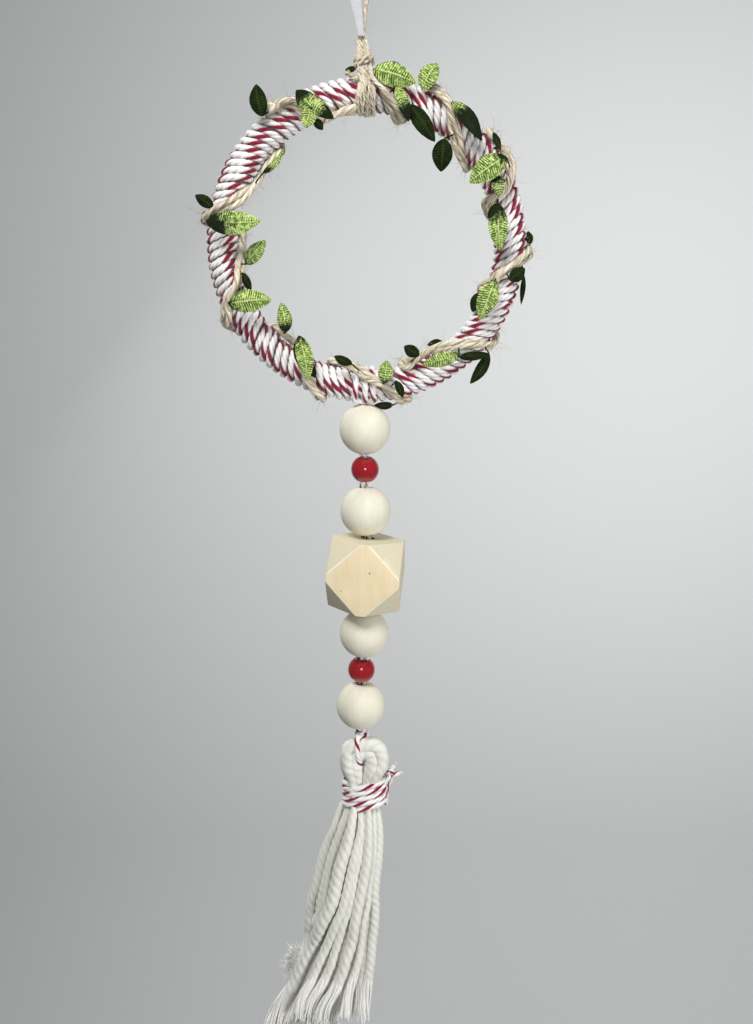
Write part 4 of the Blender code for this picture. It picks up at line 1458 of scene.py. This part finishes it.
class ORNAMENT_OT_garland_cord(bpy.types.Operator):
    """Winds the two jute twines of the garland round the ring"""

    bl_idname = "ornament.garland_cord"
    bl_label = "Garland cord"

    def execute(self, context):
        sizes = context.scene.ornament_garland
        route = even(garland_route(), 0.6 * MM)
        twines = []
        for side in (1, -1):
            way = self.twine_route(route, side, sizes)
            twines.append(strand(way, sizes.cord / 2, GARLAND, GARLAND_PITCH, jute_rope(), phase=side))
        hung(twines, "garland_jute", "jute", "jute_garland_cord")
        rows = strays(route, sizes.stray_count, 1.8 * MM, 8 * MM, GARLAND_STRAY_SEED)
        hung([hairs(rows, GARLAND_HAIR, jute_hair())], "garland_fibres", "jute")
        return {"FINISHED"}

    def twine_route(self, route, side, sizes):
        """One of the two twines: side by side on the ring, and now and then one crosses over the other."""
        row = []
        gone = 0.0
        for i, (place, (ahead, _, _)) in enumerate(zip(route, sides_of(route))):
            gone += (place - route[max(i - 1, 0)]).length
            turn = 2 * math.pi * gone / sizes.pitch
            out = (place - ring_point(clock_of(place), 0, 0)).normalized()
            aside = ahead.cross(out) * side * math.cos(turn) * sizes.cord / 2
            lifted = max(0.0, side * math.sin(turn)) * max(CROSSING_LEAST, -out.y)
            row.append(place + aside + out * (lifted * CROSSING_RISE * sizes.cord))
        return row


def garland_route():
    """The cord's centre line: it spirals round the ring and crosses the front where the list says."""
    marks = []
    for lap, run in enumerate(GARLAND_RUNS):
        row = []
        for pixel in run:
            clock, around = on_ring(*pixel, GARLAND_LIFT + 0.25 * MM)
            if marks and clock > marks[-1].x + 180:
                clock -= 360
            row.append(Vector((clock, around + 360 * lap)))
        if marks:
            last = marks[-1]
            for around, share in GARLAND_BEHIND:
                clock = last.x + (row[0].x - last.x) * share
                marks.append(Vector((clock, around + 360 * (lap - 1))))
        marks += row
    return [ring_point(clock, around, GARLAND_LIFT) for clock, around in spline(marks, GARLAND_STEPS)]


class ORNAMENT_OT_leaves(bpy.types.Operator):
    """Makes the satin leaves of the garland"""

    bl_idname = "ornament.leaves"
    bl_label = "Leaves"

    def execute(self, context):
        thickness = context.scene.ornament_garland.leaf_thickness
        route = garland_route()
        for index, row in enumerate(LEAVES, 1):
            self.leaf(index, row, route, thickness)
        return {"FINISHED"}

    def leaf(self, index, row, route, thickness):
        """One leaf, with a stalk where its base is off the cord."""
        base_pixel, tip_pixel, width, base_depth, tip_depth, side_up, shade, curl = row
        base = seen_at(*base_pixel, base_depth * MM)
        along = seen_at(*tip_pixel, tip_depth * MM) - base
        across = along.cross(Vector((0, -1, 0))).normalized() * width * MM / 2
        out = across.cross(along).normalized()
        deselect()
        cells = {"x_subdivisions": LEAF_CELLS_ACROSS, "y_subdivisions": LEAF_CELLS_ALONG}
        bpy.ops.mesh.primitive_grid_add(size=1, calc_uvs=True, **cells)
        leaf = bpy.context.object
        draw = random.Random(LEAF_SEED + index)
        bend = curl * along.length * draw.uniform(0.7, 1.3)
        swing = draw.uniform(-0.05, 0.05) * along.length
        lit = []
        ribs = []
        for vert in leaf.data.vertices:
            x, t = 2 * vert.co.x, vert.co.y + 0.5
            lit.append(t - shade if shade >= 0 else -shade - t)
            half = max(0.0, math.sin(math.pi * t**0.85)) ** (0.62 + 0.16 * t)
            ribs.append((t * along.length - RIB_LEAN * abs(x) * half * width * MM) / RIB_SPACING)
            half = half if t > 0.5 else max(half, LEAF_FOOT)
            if t > 0.999:
                half = 0.0
            arch = math.sin(math.pi * t)
            wave = math.cos(2 * math.pi * (VEINS_ALONG * t - VEINS_ACROSS * abs(x)))
            ridge = LEAF_RIDGE * width * MM * (1 - abs(x)) * half
            vein = LEAF_VEIN * width * MM * wave * half * min(1, 3 * abs(x))
            droop = LEAF_DROOP * width * MM * x * x * half
            place = base + along * t + across * x * half + across.normalized() * swing * arch
            vert.co = place + out * (ridge + vein + bend * arch - droop)
        carry(leaf, "thread_shift", [7.3 * index] * len(lit))
        carry(leaf, "out_of_shade", lit)
        carry(leaf, "rib_place", ribs)
        # The back's material is near black, partly the back's own colour and partly painted shade.
        face, back = leaf_satin("leaf_face", True), leaf_satin("leaf_back", False)
        if side_up == "back":
            face, back = back, face
        wear(leaf, face, back)
        on_all(leaf, lambda: bpy.ops.mesh.remove_doubles(threshold=0.00001))
        if leaf.data.polygons[0].normal.dot(out) < 0:
            on_all(leaf, lambda: bpy.ops.mesh.flip_normals())
        applied(leaf, "SOLIDIFY", thickness=thickness, offset=-1, material_offset=1, material_offset_rim=1)
        bpy.ops.object.shade_smooth_by_angle(angle=math.radians(50))
        pieces = [leaf]
        near = min(route, key=lambda point: (point - base).length)
        if (near - base).length > STALK_LEAST:
            way = [near, near.lerp(base, 0.5) + out * 0.3 * MM, base, base + along * 0.12]
            way = smooth(way, 0.5 * MM, 5)
            pieces.append(strand(way, 0.32 * MM, STALK, STALK_PITCH, leaf_satin("leaf_stem", False)))
        hung(pieces, f"satin_leaf_{index:02d}", "leaf_satin", f"leaf_{index:02d}")


class ORNAMENT_OT_bead_string(bpy.types.Operator):
    """Runs the doubled twine from the ring down through the beads, with its knot below them"""

    bl_idname = "ornament.bead_string"
    bl_label = "Bead string"

    def execute(self, context):
        radius = STRING_SHARE * context.scene.ornament_twine.width / 2
        pieces = []
        for side in (-1, 1):
            places = [Vector((STRING_ACROSS + side * STRING_APART, 0, RING_LOW.z + 0.5 * MM))]
            for name in BEAD_NODES:
                low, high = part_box(name)
                middle = (low + high) / 2
                places += [Vector((middle.x + side * BORE_APART, middle.y, z)) for z in (high.z, low.z)]
            places.append(middle_of("string_knot"))
            route = smooth(places, 0.9 * MM, 4)
            pieces.append(strand(route, radius, TWINE, STRING_PITCH, baker_twine(), phase=2.2 * side))
        pieces += self.gather(radius)
        hung(pieces, "bead_string_twine", "red_white_twine", "bead_string")
        self.knot(radius)
        return {"FINISHED"}

    def gather(self, radius):
        """Turns of the string round the ring that draw together into the first bead."""
        pieces = []
        foot = Vector((STRING_ACROSS, 0, RING_LOW.z + 0.2 * MM))
        apart = Vector((0, GATHER_DEPTH, 0))
        for i, clock in enumerate(GATHER_CLOCKS):
            end = foot + Vector(((i - 1) * GATHER_SPACING, 0, 0))
            way = [ring_point(clock, around, GATHER_LIFT) for around in GATHER_FRONT + GATHER_BACK]
            route = smooth([end - apart, *way, end + apart], 0.8 * MM, 5)
            pieces.append(strand(route, radius, TWINE, GATHER_PITCH, baker_twine(), phase=1.0 + 1.7 * i))
        return pieces

    def knot(self, radius):
        """A loop of twine pulled tight under the last bead, and the strand that goes into the tassel."""
        low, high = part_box("string_knot")
        middle = (low + high) / 2
        size = (high - low) / 2 - Vector((1, 1, 1)) * 1.0 * MM
        places = []
        for i in range(STRING_KNOT_STEPS):
            t = 2 * math.pi * i / STRING_KNOT_STEPS
            x = (math.sin(t) + 2 * math.sin(2 * t)) / 3
            z = (math.cos(t) - 2 * math.cos(2 * t)) / 3
            places.append(middle + Vector((x * size.x, -math.sin(3 * t) * size.y, z * size.z)))
        places.append(places[0])
        knot = strand(even(places, 0.6 * MM), radius, TWINE, KNOT_PITCH, baker_twine(), phase=0.4)
        route = smooth([middle, *seen_row(STRING_TAIL)], 0.7 * MM, 5)
        tail = strand(route, radius, TWINE, KNOT_PITCH, baker_twine(), phase=2.6)
        hung([knot, tail], "string_knot_twine", "red_white_twine", "string_knot")


class ORNAMENT_OT_round_beads(bpy.types.Operator):
    """Turns the round beads, each with a bore"""

    bl_idname = "ornament.round_beads"
    bl_label = "Round beads"

    def execute(self, context):
        sizes = context.scene.ornament_beads
        tones = colours()
        wood = bare_wood("bead_wood", tones.wood, tones.wood_dark)
        red = plain("red_gloss", tones.red_bead, 0.16, 0.02 * MM, coat=0.6)
        for name in BEAD_NODES:
            if name != "faceted_bead":
                finish, slot = (wood, "bare_wood") if "wood" in name else (red, "red_lacquer")
                self.bead(name, sizes, finish, slot)
        return {"FINISHED"}

    def bead(self, node, sizes, finish, slot):
        """A ball whose ends are cut off where the bore comes out, with the bore's wall between them."""
        low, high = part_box(node)
        radius = (high.x - low.x) / 2
        deselect()
        bpy.ops.mesh.primitive_uv_sphere_add(segments=64, ring_count=40, radius=radius)
        bead = bpy.context.object
        hole = sizes.bore / 2
        cut = math.sqrt(radius**2 - hole**2)
        pick(bead, lambda place: abs(place.z) > cut)
        in_edit(bead, lambda: bpy.ops.mesh.delete(type="VERT"))
        crest = max(vert.co.z for vert in bead.data.vertices)
        for vert in bead.data.vertices:
            if abs(vert.co.z) > crest - TOUCH:
                spread = hole / math.hypot(vert.co.x, vert.co.y)
                vert.co = Vector((vert.co.x * spread, vert.co.y * spread, math.copysign(cut, vert.co.z)))
        pick(bead, lambda place: abs(place.z) > cut - TOUCH)
        in_edit(bead, lambda: bpy.ops.mesh.bridge_edge_loops())
        face_out(bead)
        rounded(bead, sizes.rim, 3, math.radians(40))
        bpy.ops.object.shade_smooth()
        bead.location = (low + high) / 2
        wear(bead, finish)
        hung([bead], f"turned_{node}", slot, node)


class ORNAMENT_OT_faceted_bead(bpy.types.Operator):
    """Cuts the faceted bead from a block"""

    bl_idname = "ornament.faceted_bead"
    bl_label = "Faceted bead"

    def execute(self, context):
        sizes = context.scene.ornament_beads
        tones = colours()
        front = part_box("faceted_bead")[0].y
        deselect()
        bpy.ops.mesh.primitive_cube_add(size=1)
        bead = bpy.context.object
        bead.scale = (sizes.facet_width, sizes.facet_width, sizes.facet_height)
        bpy.ops.object.transform_apply(scale=True)
        corners = {"offset_type": "PERCENT", "offset_pct": CORNER_CUT, "affect": "VERTICES"}
        on_all(bead, lambda: bpy.ops.mesh.bevel(**corners))
        self.settle(bead)
        bpy.ops.object.transform_apply(location=True, rotation=True)
        rounded(bead, sizes.facet_edge, 3, 0.3)
        wear(bead, bare_wood("faceted_wood", tones.facet, tones.facet_dark, tones.facet_across))
        deselect()
        bpy.ops.mesh.primitive_cylinder_add(vertices=32, radius=sizes.bore / 2, depth=0.06)
        self.settle(bpy.context.object)
        self.cut(bead, bpy.context.object)
        for (x, y), width in PINHOLES:
            place = seen_at(x, y, front)
            aim = place - seen_at(x, y, front - 10 * MM)
            hit, spot, _, _ = bead.ray_cast(place - aim, aim.normalized())
            if hit:
                deselect()
                bpy.ops.mesh.primitive_ico_sphere_add(subdivisions=2, radius=width * MM / 2, location=spot)
                self.cut(bead, bpy.context.object)
        only(bead)
        bpy.ops.object.shade_smooth_by_angle(angle=math.radians(25))
        hung([bead], "cut_faceted_bead", "bare_wood", "faceted_bead")
        return {"FINISHED"}

    def settle(self, piece):
        """Turns a piece as the bead hangs, at the bead's place."""
        piece.rotation_euler = FACETED_TURN
        piece.location = middle_of("faceted_bead")

    def cut(self, piece, cutter):
        """Takes a cutter out of a piece, and paints the cut's walls dark as painted shade."""
        wear(cutter, plain("pinhole", HOLE_SHADE_TONE, 0.9, 0.01 * MM))
        bpy.context.view_layer.update()
        choices = {"operation": "DIFFERENCE", "solver": "EXACT", "material_mode": "TRANSFER"}
        applied(piece, "BOOLEAN", object=cutter, **choices)
        bpy.data.objects.remove(cutter)


class ORNAMENT_OT_tassel(bpy.types.Operator):
    """Folds the tassel's cotton cords over the string and frays their ends"""

    bl_idname = "ornament.tassel"
    bl_label = "Tassel"

    def execute(self, context):
        sizes = context.scene.ornament_tassel
        draw = random.Random(TASSEL_SEED)
        cords = [(size, self.front_route(depth, places)) for size, depth, places in FRONT_CORDS]
        cords += [(BACK_CORD_SIZE, self.back_route(*row)) for row in BACK_CORDS]
        taper = round(TAPER_SHARE * sizes.fray / CORD_SPACING)
        radius = sizes.width / 2
        yarns = []
        skirt = []
        for i, (size, route) in enumerate(cords):
            route = smooth(route, CORD_SPACING)
            swell = [size * self.squeeze(point) for point in route]
            solid = max(12, len(route) - round(0.5 * sizes.fray / CORD_SPACING))
            for j in range(solid - taper, solid):
                swell[j] *= 1 - TAPER_LOSS * (j - solid + taper) / taper
            pitch = sizes.pitch * draw.uniform(0.93, 1.15)
            skirt.append(strand(route[:solid], radius, SKIRT, pitch, cotton_rope(), swell[:solid], 2.1 * i))
            yarns.append(self.fray(route, size, sizes, draw))
        hung(skirt + self.head(sizes), "tassel_rope", "white_cotton", "tassel_cords")
        tuft = strays(smooth([self.on_skirt(x, y, -0.7) for x, y in TUFT], 0.4 * MM), *TUFT_STRAYS)
        for name, rows, width in (
            ("tassel_yarns", sum(yarns[: len(FRONT_CORDS)], []), YARN),
            ("tassel_back_yarns", sum(yarns[len(FRONT_CORDS) :], []), YARN),
            ("tassel_tuft", tuft, TUFT_HAIR),
        ):
            hung([hairs(rows, width, cotton_hair(), 0.4)], name, "white_cotton")
        return {"FINISHED"}

    def edges(self, y):
        """The skirt's left and right edges at a pixel row."""
        rows, left, right = zip(*TASSEL_EDGES)
        return np.interp(y, rows, left), np.interp(y, rows, right)

    def on_skirt(self, x, y, layer):
        """A point of the skirt, with its cord's middle a cord's radius under the surface."""
        left, right = self.edges(y)
        half = (seen_at(right, y, TASSEL_DEPTH) - seen_at(left, y, TASSEL_DEPTH)).length / 2
        share = max(-0.95, min(0.95, (2 * x - left - right) / (right - left)))
        deep = TASSEL_FLATNESS * half * math.sqrt(1 - share**2) - CORD_SINK
        return seen_at(x, y, TASSEL_DEPTH + layer * max(deep, CORD_LEAST))

    def front_route(self, depth, places):
        """A cord in front, along its pixels."""
        return [self.on_skirt(x, y, -1) + Vector((0, depth * MM, 0)) for x, y in places]

    def back_route(self, across, layer, end):
        """A cord behind, which keeps its share of the skirt's width."""
        points = []
        for y in (*BACK_CORD_ROWS, end):
            left, right = self.edges(y)
            x = (left + right) / 2 + across * (right - left) / 2 * BACK_CORD_SPREAD
            points.append(self.on_skirt(x, y, layer))
        return points

    def squeeze(self, point):
        """How much a cord swells below the binding that grips it."""
        below = seen_at(*GRIP_PIXEL, TASSEL_DEPTH).z - point.z
        return GRIP_SHARE + (1 - GRIP_SHARE) * min(1, max(0, below / GRIP_REACH)) ** 0.8

    def fray(self, route, size, sizes, draw):
        """Loose yarns that fan out of a cord's end."""
        frames = sides_of(route)
        start = max(2, len(route) - round(sizes.fray / CORD_SPACING))
        rows = []
        for _ in range(round(sizes.yarns * (0.4 + 0.6 * size))):
            turn = draw.uniform(0, 2 * math.pi)
            out = sizes.width / 2 * size * 0.9 * draw.random() ** 0.35
            flare = draw.uniform(*YARN_FLARE)
            sway = draw.uniform(-YARN_SWAY, YARN_SWAY) * MM
            first = start + draw.randrange(0, 5)
            row = []
            for i in range(first, len(route) - draw.randrange(0, 4), 2):
                _, across, other = frames[i]
                share = (i - start) / (len(route) - start)
                spread = out * (0.86 + 0.14 * min(1, 3 * share) + (flare - 1) * share**2)
                drift = turn + LAY * 1.5 * share
                wave = sway * math.sin(6 * share + turn) * share
                place = route[i] + across * (math.cos(drift) * spread + wave)
                row.append(place + other * math.sin(drift) * spread)
            if len(row) > 3:
                rows.append(row)
        return rows

    def head(self, sizes):
        """Cords folded over the string into a soft bulb that the binding draws in below."""
        high, low = (seen_at(GRIP_PIXEL[0], y, TASSEL_DEPTH).z for y in (HEAD_ROW, GRIP_ROW))
        radius = sizes.width / 2
        pieces = []
        for i, (fat, depths, places) in enumerate(HEAD_FOLDS):
            for depth in depths:
                route = smooth([seen_at(x, y, TASSEL_DEPTH + depth * MM) for x, y in places], 0.9 * MM)
                swell = [fat * np.interp(point.z, (low, high), (HEAD_GRIP_SHARE, 1.0)) for point in route]
                phase = 1.3 * i + depth
                pieces.append(strand(route, radius, HEAD, sizes.pitch, cotton_rope(), swell, phase))
        return pieces


class ORNAMENT_OT_binding(bpy.types.Operator):
    """Winds the twine round the tassel's neck and knots it at the side"""

    bl_idname = "ornament.binding"
    bl_label = "Binding"

    def execute(self, context):
        width = BINDING_SHARE * context.scene.ornament_twine.width
        route = self.winding(width)
        turns = strand(route, width / 2, TWINE, BINDING_PITCH, baker_twine(), phase=0.9)
        hung([turns], "binding_twine", "red_white_twine", "tassel_binding")
        self.knot(width / 2)
        return {"FINISHED"}

    def winding(self, width):
        """The turns of the binding, which lean as they go round."""
        low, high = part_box("tassel_binding")
        left, right, top, foot = (seen_at(x, y, TASSEL_DEPTH) for x, y in BINDING_ENDS)
        middle = Vector(((left.x + right.x) / 2, (low.y + high.y) / 2, (top.z + foot.z) / 2))
        wide = (right.x - left.x) / 2
        deep = (high.y - low.y - width) / 2
        row = []
        for i in range(BINDING_TURNS * BINDING_STEPS + 1):
            turn = i / BINDING_STEPS
            angle = 2 * math.pi * turn + BINDING_START
            drop = (top.z - foot.z) * (turn / BINDING_TURNS - 0.5)
            x = middle.x + wide * math.cos(angle)
            y = middle.y - deep * math.sin(angle)
            row.append(Vector((x, y, middle.z - drop + BINDING_SLOPE * math.cos(angle))))
        return row

    def knot(self, radius):
        """The tie at the binding's right side, with its short ends."""
        pieces = []
        rows = []
        for i, run in enumerate(TIE_RUNS):
            route = smooth(seen_row(run, TASSEL_DEPTH / MM), 0.6 * MM)
            swell = [TIE_SIZE] * len(route)
            pieces.append(strand(route, radius, TWINE, KNOT_PITCH, baker_twine(), swell, 0.8 + 1.9 * i))
            if i > 1:
                rows += [self.wisp(route, seed) for seed in range(WISPS * i, WISPS * i + WISPS)]
        pieces.append(hairs(rows, WISP, cotton_hair()))
        hung(pieces, "binding_knot_twine", "red_white_twine", "binding_knot")

    def wisp(self, route, seed):
        """One fibre that sticks out of a cut end."""
        ahead = (route[-1] - route[-3]).normalized()
        way = (ahead + any_way(random.Random(seed)) * 0.55).normalized()
        return [route[-1] + way * step * 0.45 * MM for step in range(-1, 5)]


PIECE_OPERATORS = (
    ORNAMENT_OT_stage,
    ORNAMENT_OT_hanging_loop,
    ORNAMENT_OT_hanger,
    ORNAMENT_OT_ring_wrap,
    ORNAMENT_OT_garland_cord,
    ORNAMENT_OT_leaves,
    ORNAMENT_OT_bead_string,
    ORNAMENT_OT_round_beads,
    ORNAMENT_OT_faceted_bead,
    ORNAMENT_OT_tassel,
    ORNAMENT_OT_binding,
)
SETTINGS = {
    "ornament_colours": OrnamentColours,
    "ornament_twine": TwineSizes,
    "ornament_garland": GarlandSizes,
    "ornament_beads": BeadSizes,
    "ornament_tassel": TasselSizes,
    "ornament_stage": StageSizes,
}


class ORNAMENT_PT_panel(bpy.types.Panel):
    """Lists the ornament's settings and pieces in the sidebar"""

    bl_idname = "ORNAMENT_PT_panel"
    bl_label = "Wooden bead ornament"
    bl_space_type = "VIEW_3D"
    bl_region_type = "UI"
    bl_category = "Ornament"

    def draw(self, context):
        for name, group in SETTINGS.items():
            box = self.layout.box()
            for value in group.__annotations__:
                box.prop(getattr(context.scene, name), value)
        for piece in PIECE_OPERATORS:
            self.layout.operator(piece.bl_idname)


def register():
    """Adds the settings, the operators and the panel."""
    for name, group in SETTINGS.items():
        bpy.utils.register_class(group)
        setattr(bpy.types.Scene, name, PointerProperty(type=group))
    for piece in PIECE_OPERATORS:
        bpy.utils.register_class(piece)
    bpy.utils.register_class(ORNAMENT_PT_panel)


def unregister():
    """Takes them away again."""
    bpy.utils.unregister_class(ORNAMENT_PT_panel)
    for piece in reversed(PIECE_OPERATORS):
        bpy.utils.unregister_class(piece)
    for name, group in SETTINGS.items():
        delattr(bpy.types.Scene, name)
        bpy.utils.unregister_class(group)


def main():
    """Makes every piece in turn."""
    register()
    bpy.ops.ornament.stage()
    bpy.ops.ornament.hanging_loop()
    bpy.ops.ornament.hanger()
    bpy.ops.ornament.ring_wrap()
    bpy.ops.ornament.garland_cord()
    bpy.ops.ornament.leaves()
    bpy.ops.ornament.bead_string()
    bpy.ops.ornament.round_beads()
    bpy.ops.ornament.faceted_bead()
    bpy.ops.ornament.tassel()
    bpy.ops.ornament.binding()
    deselect()


if __name__ == "__main__":
    main()
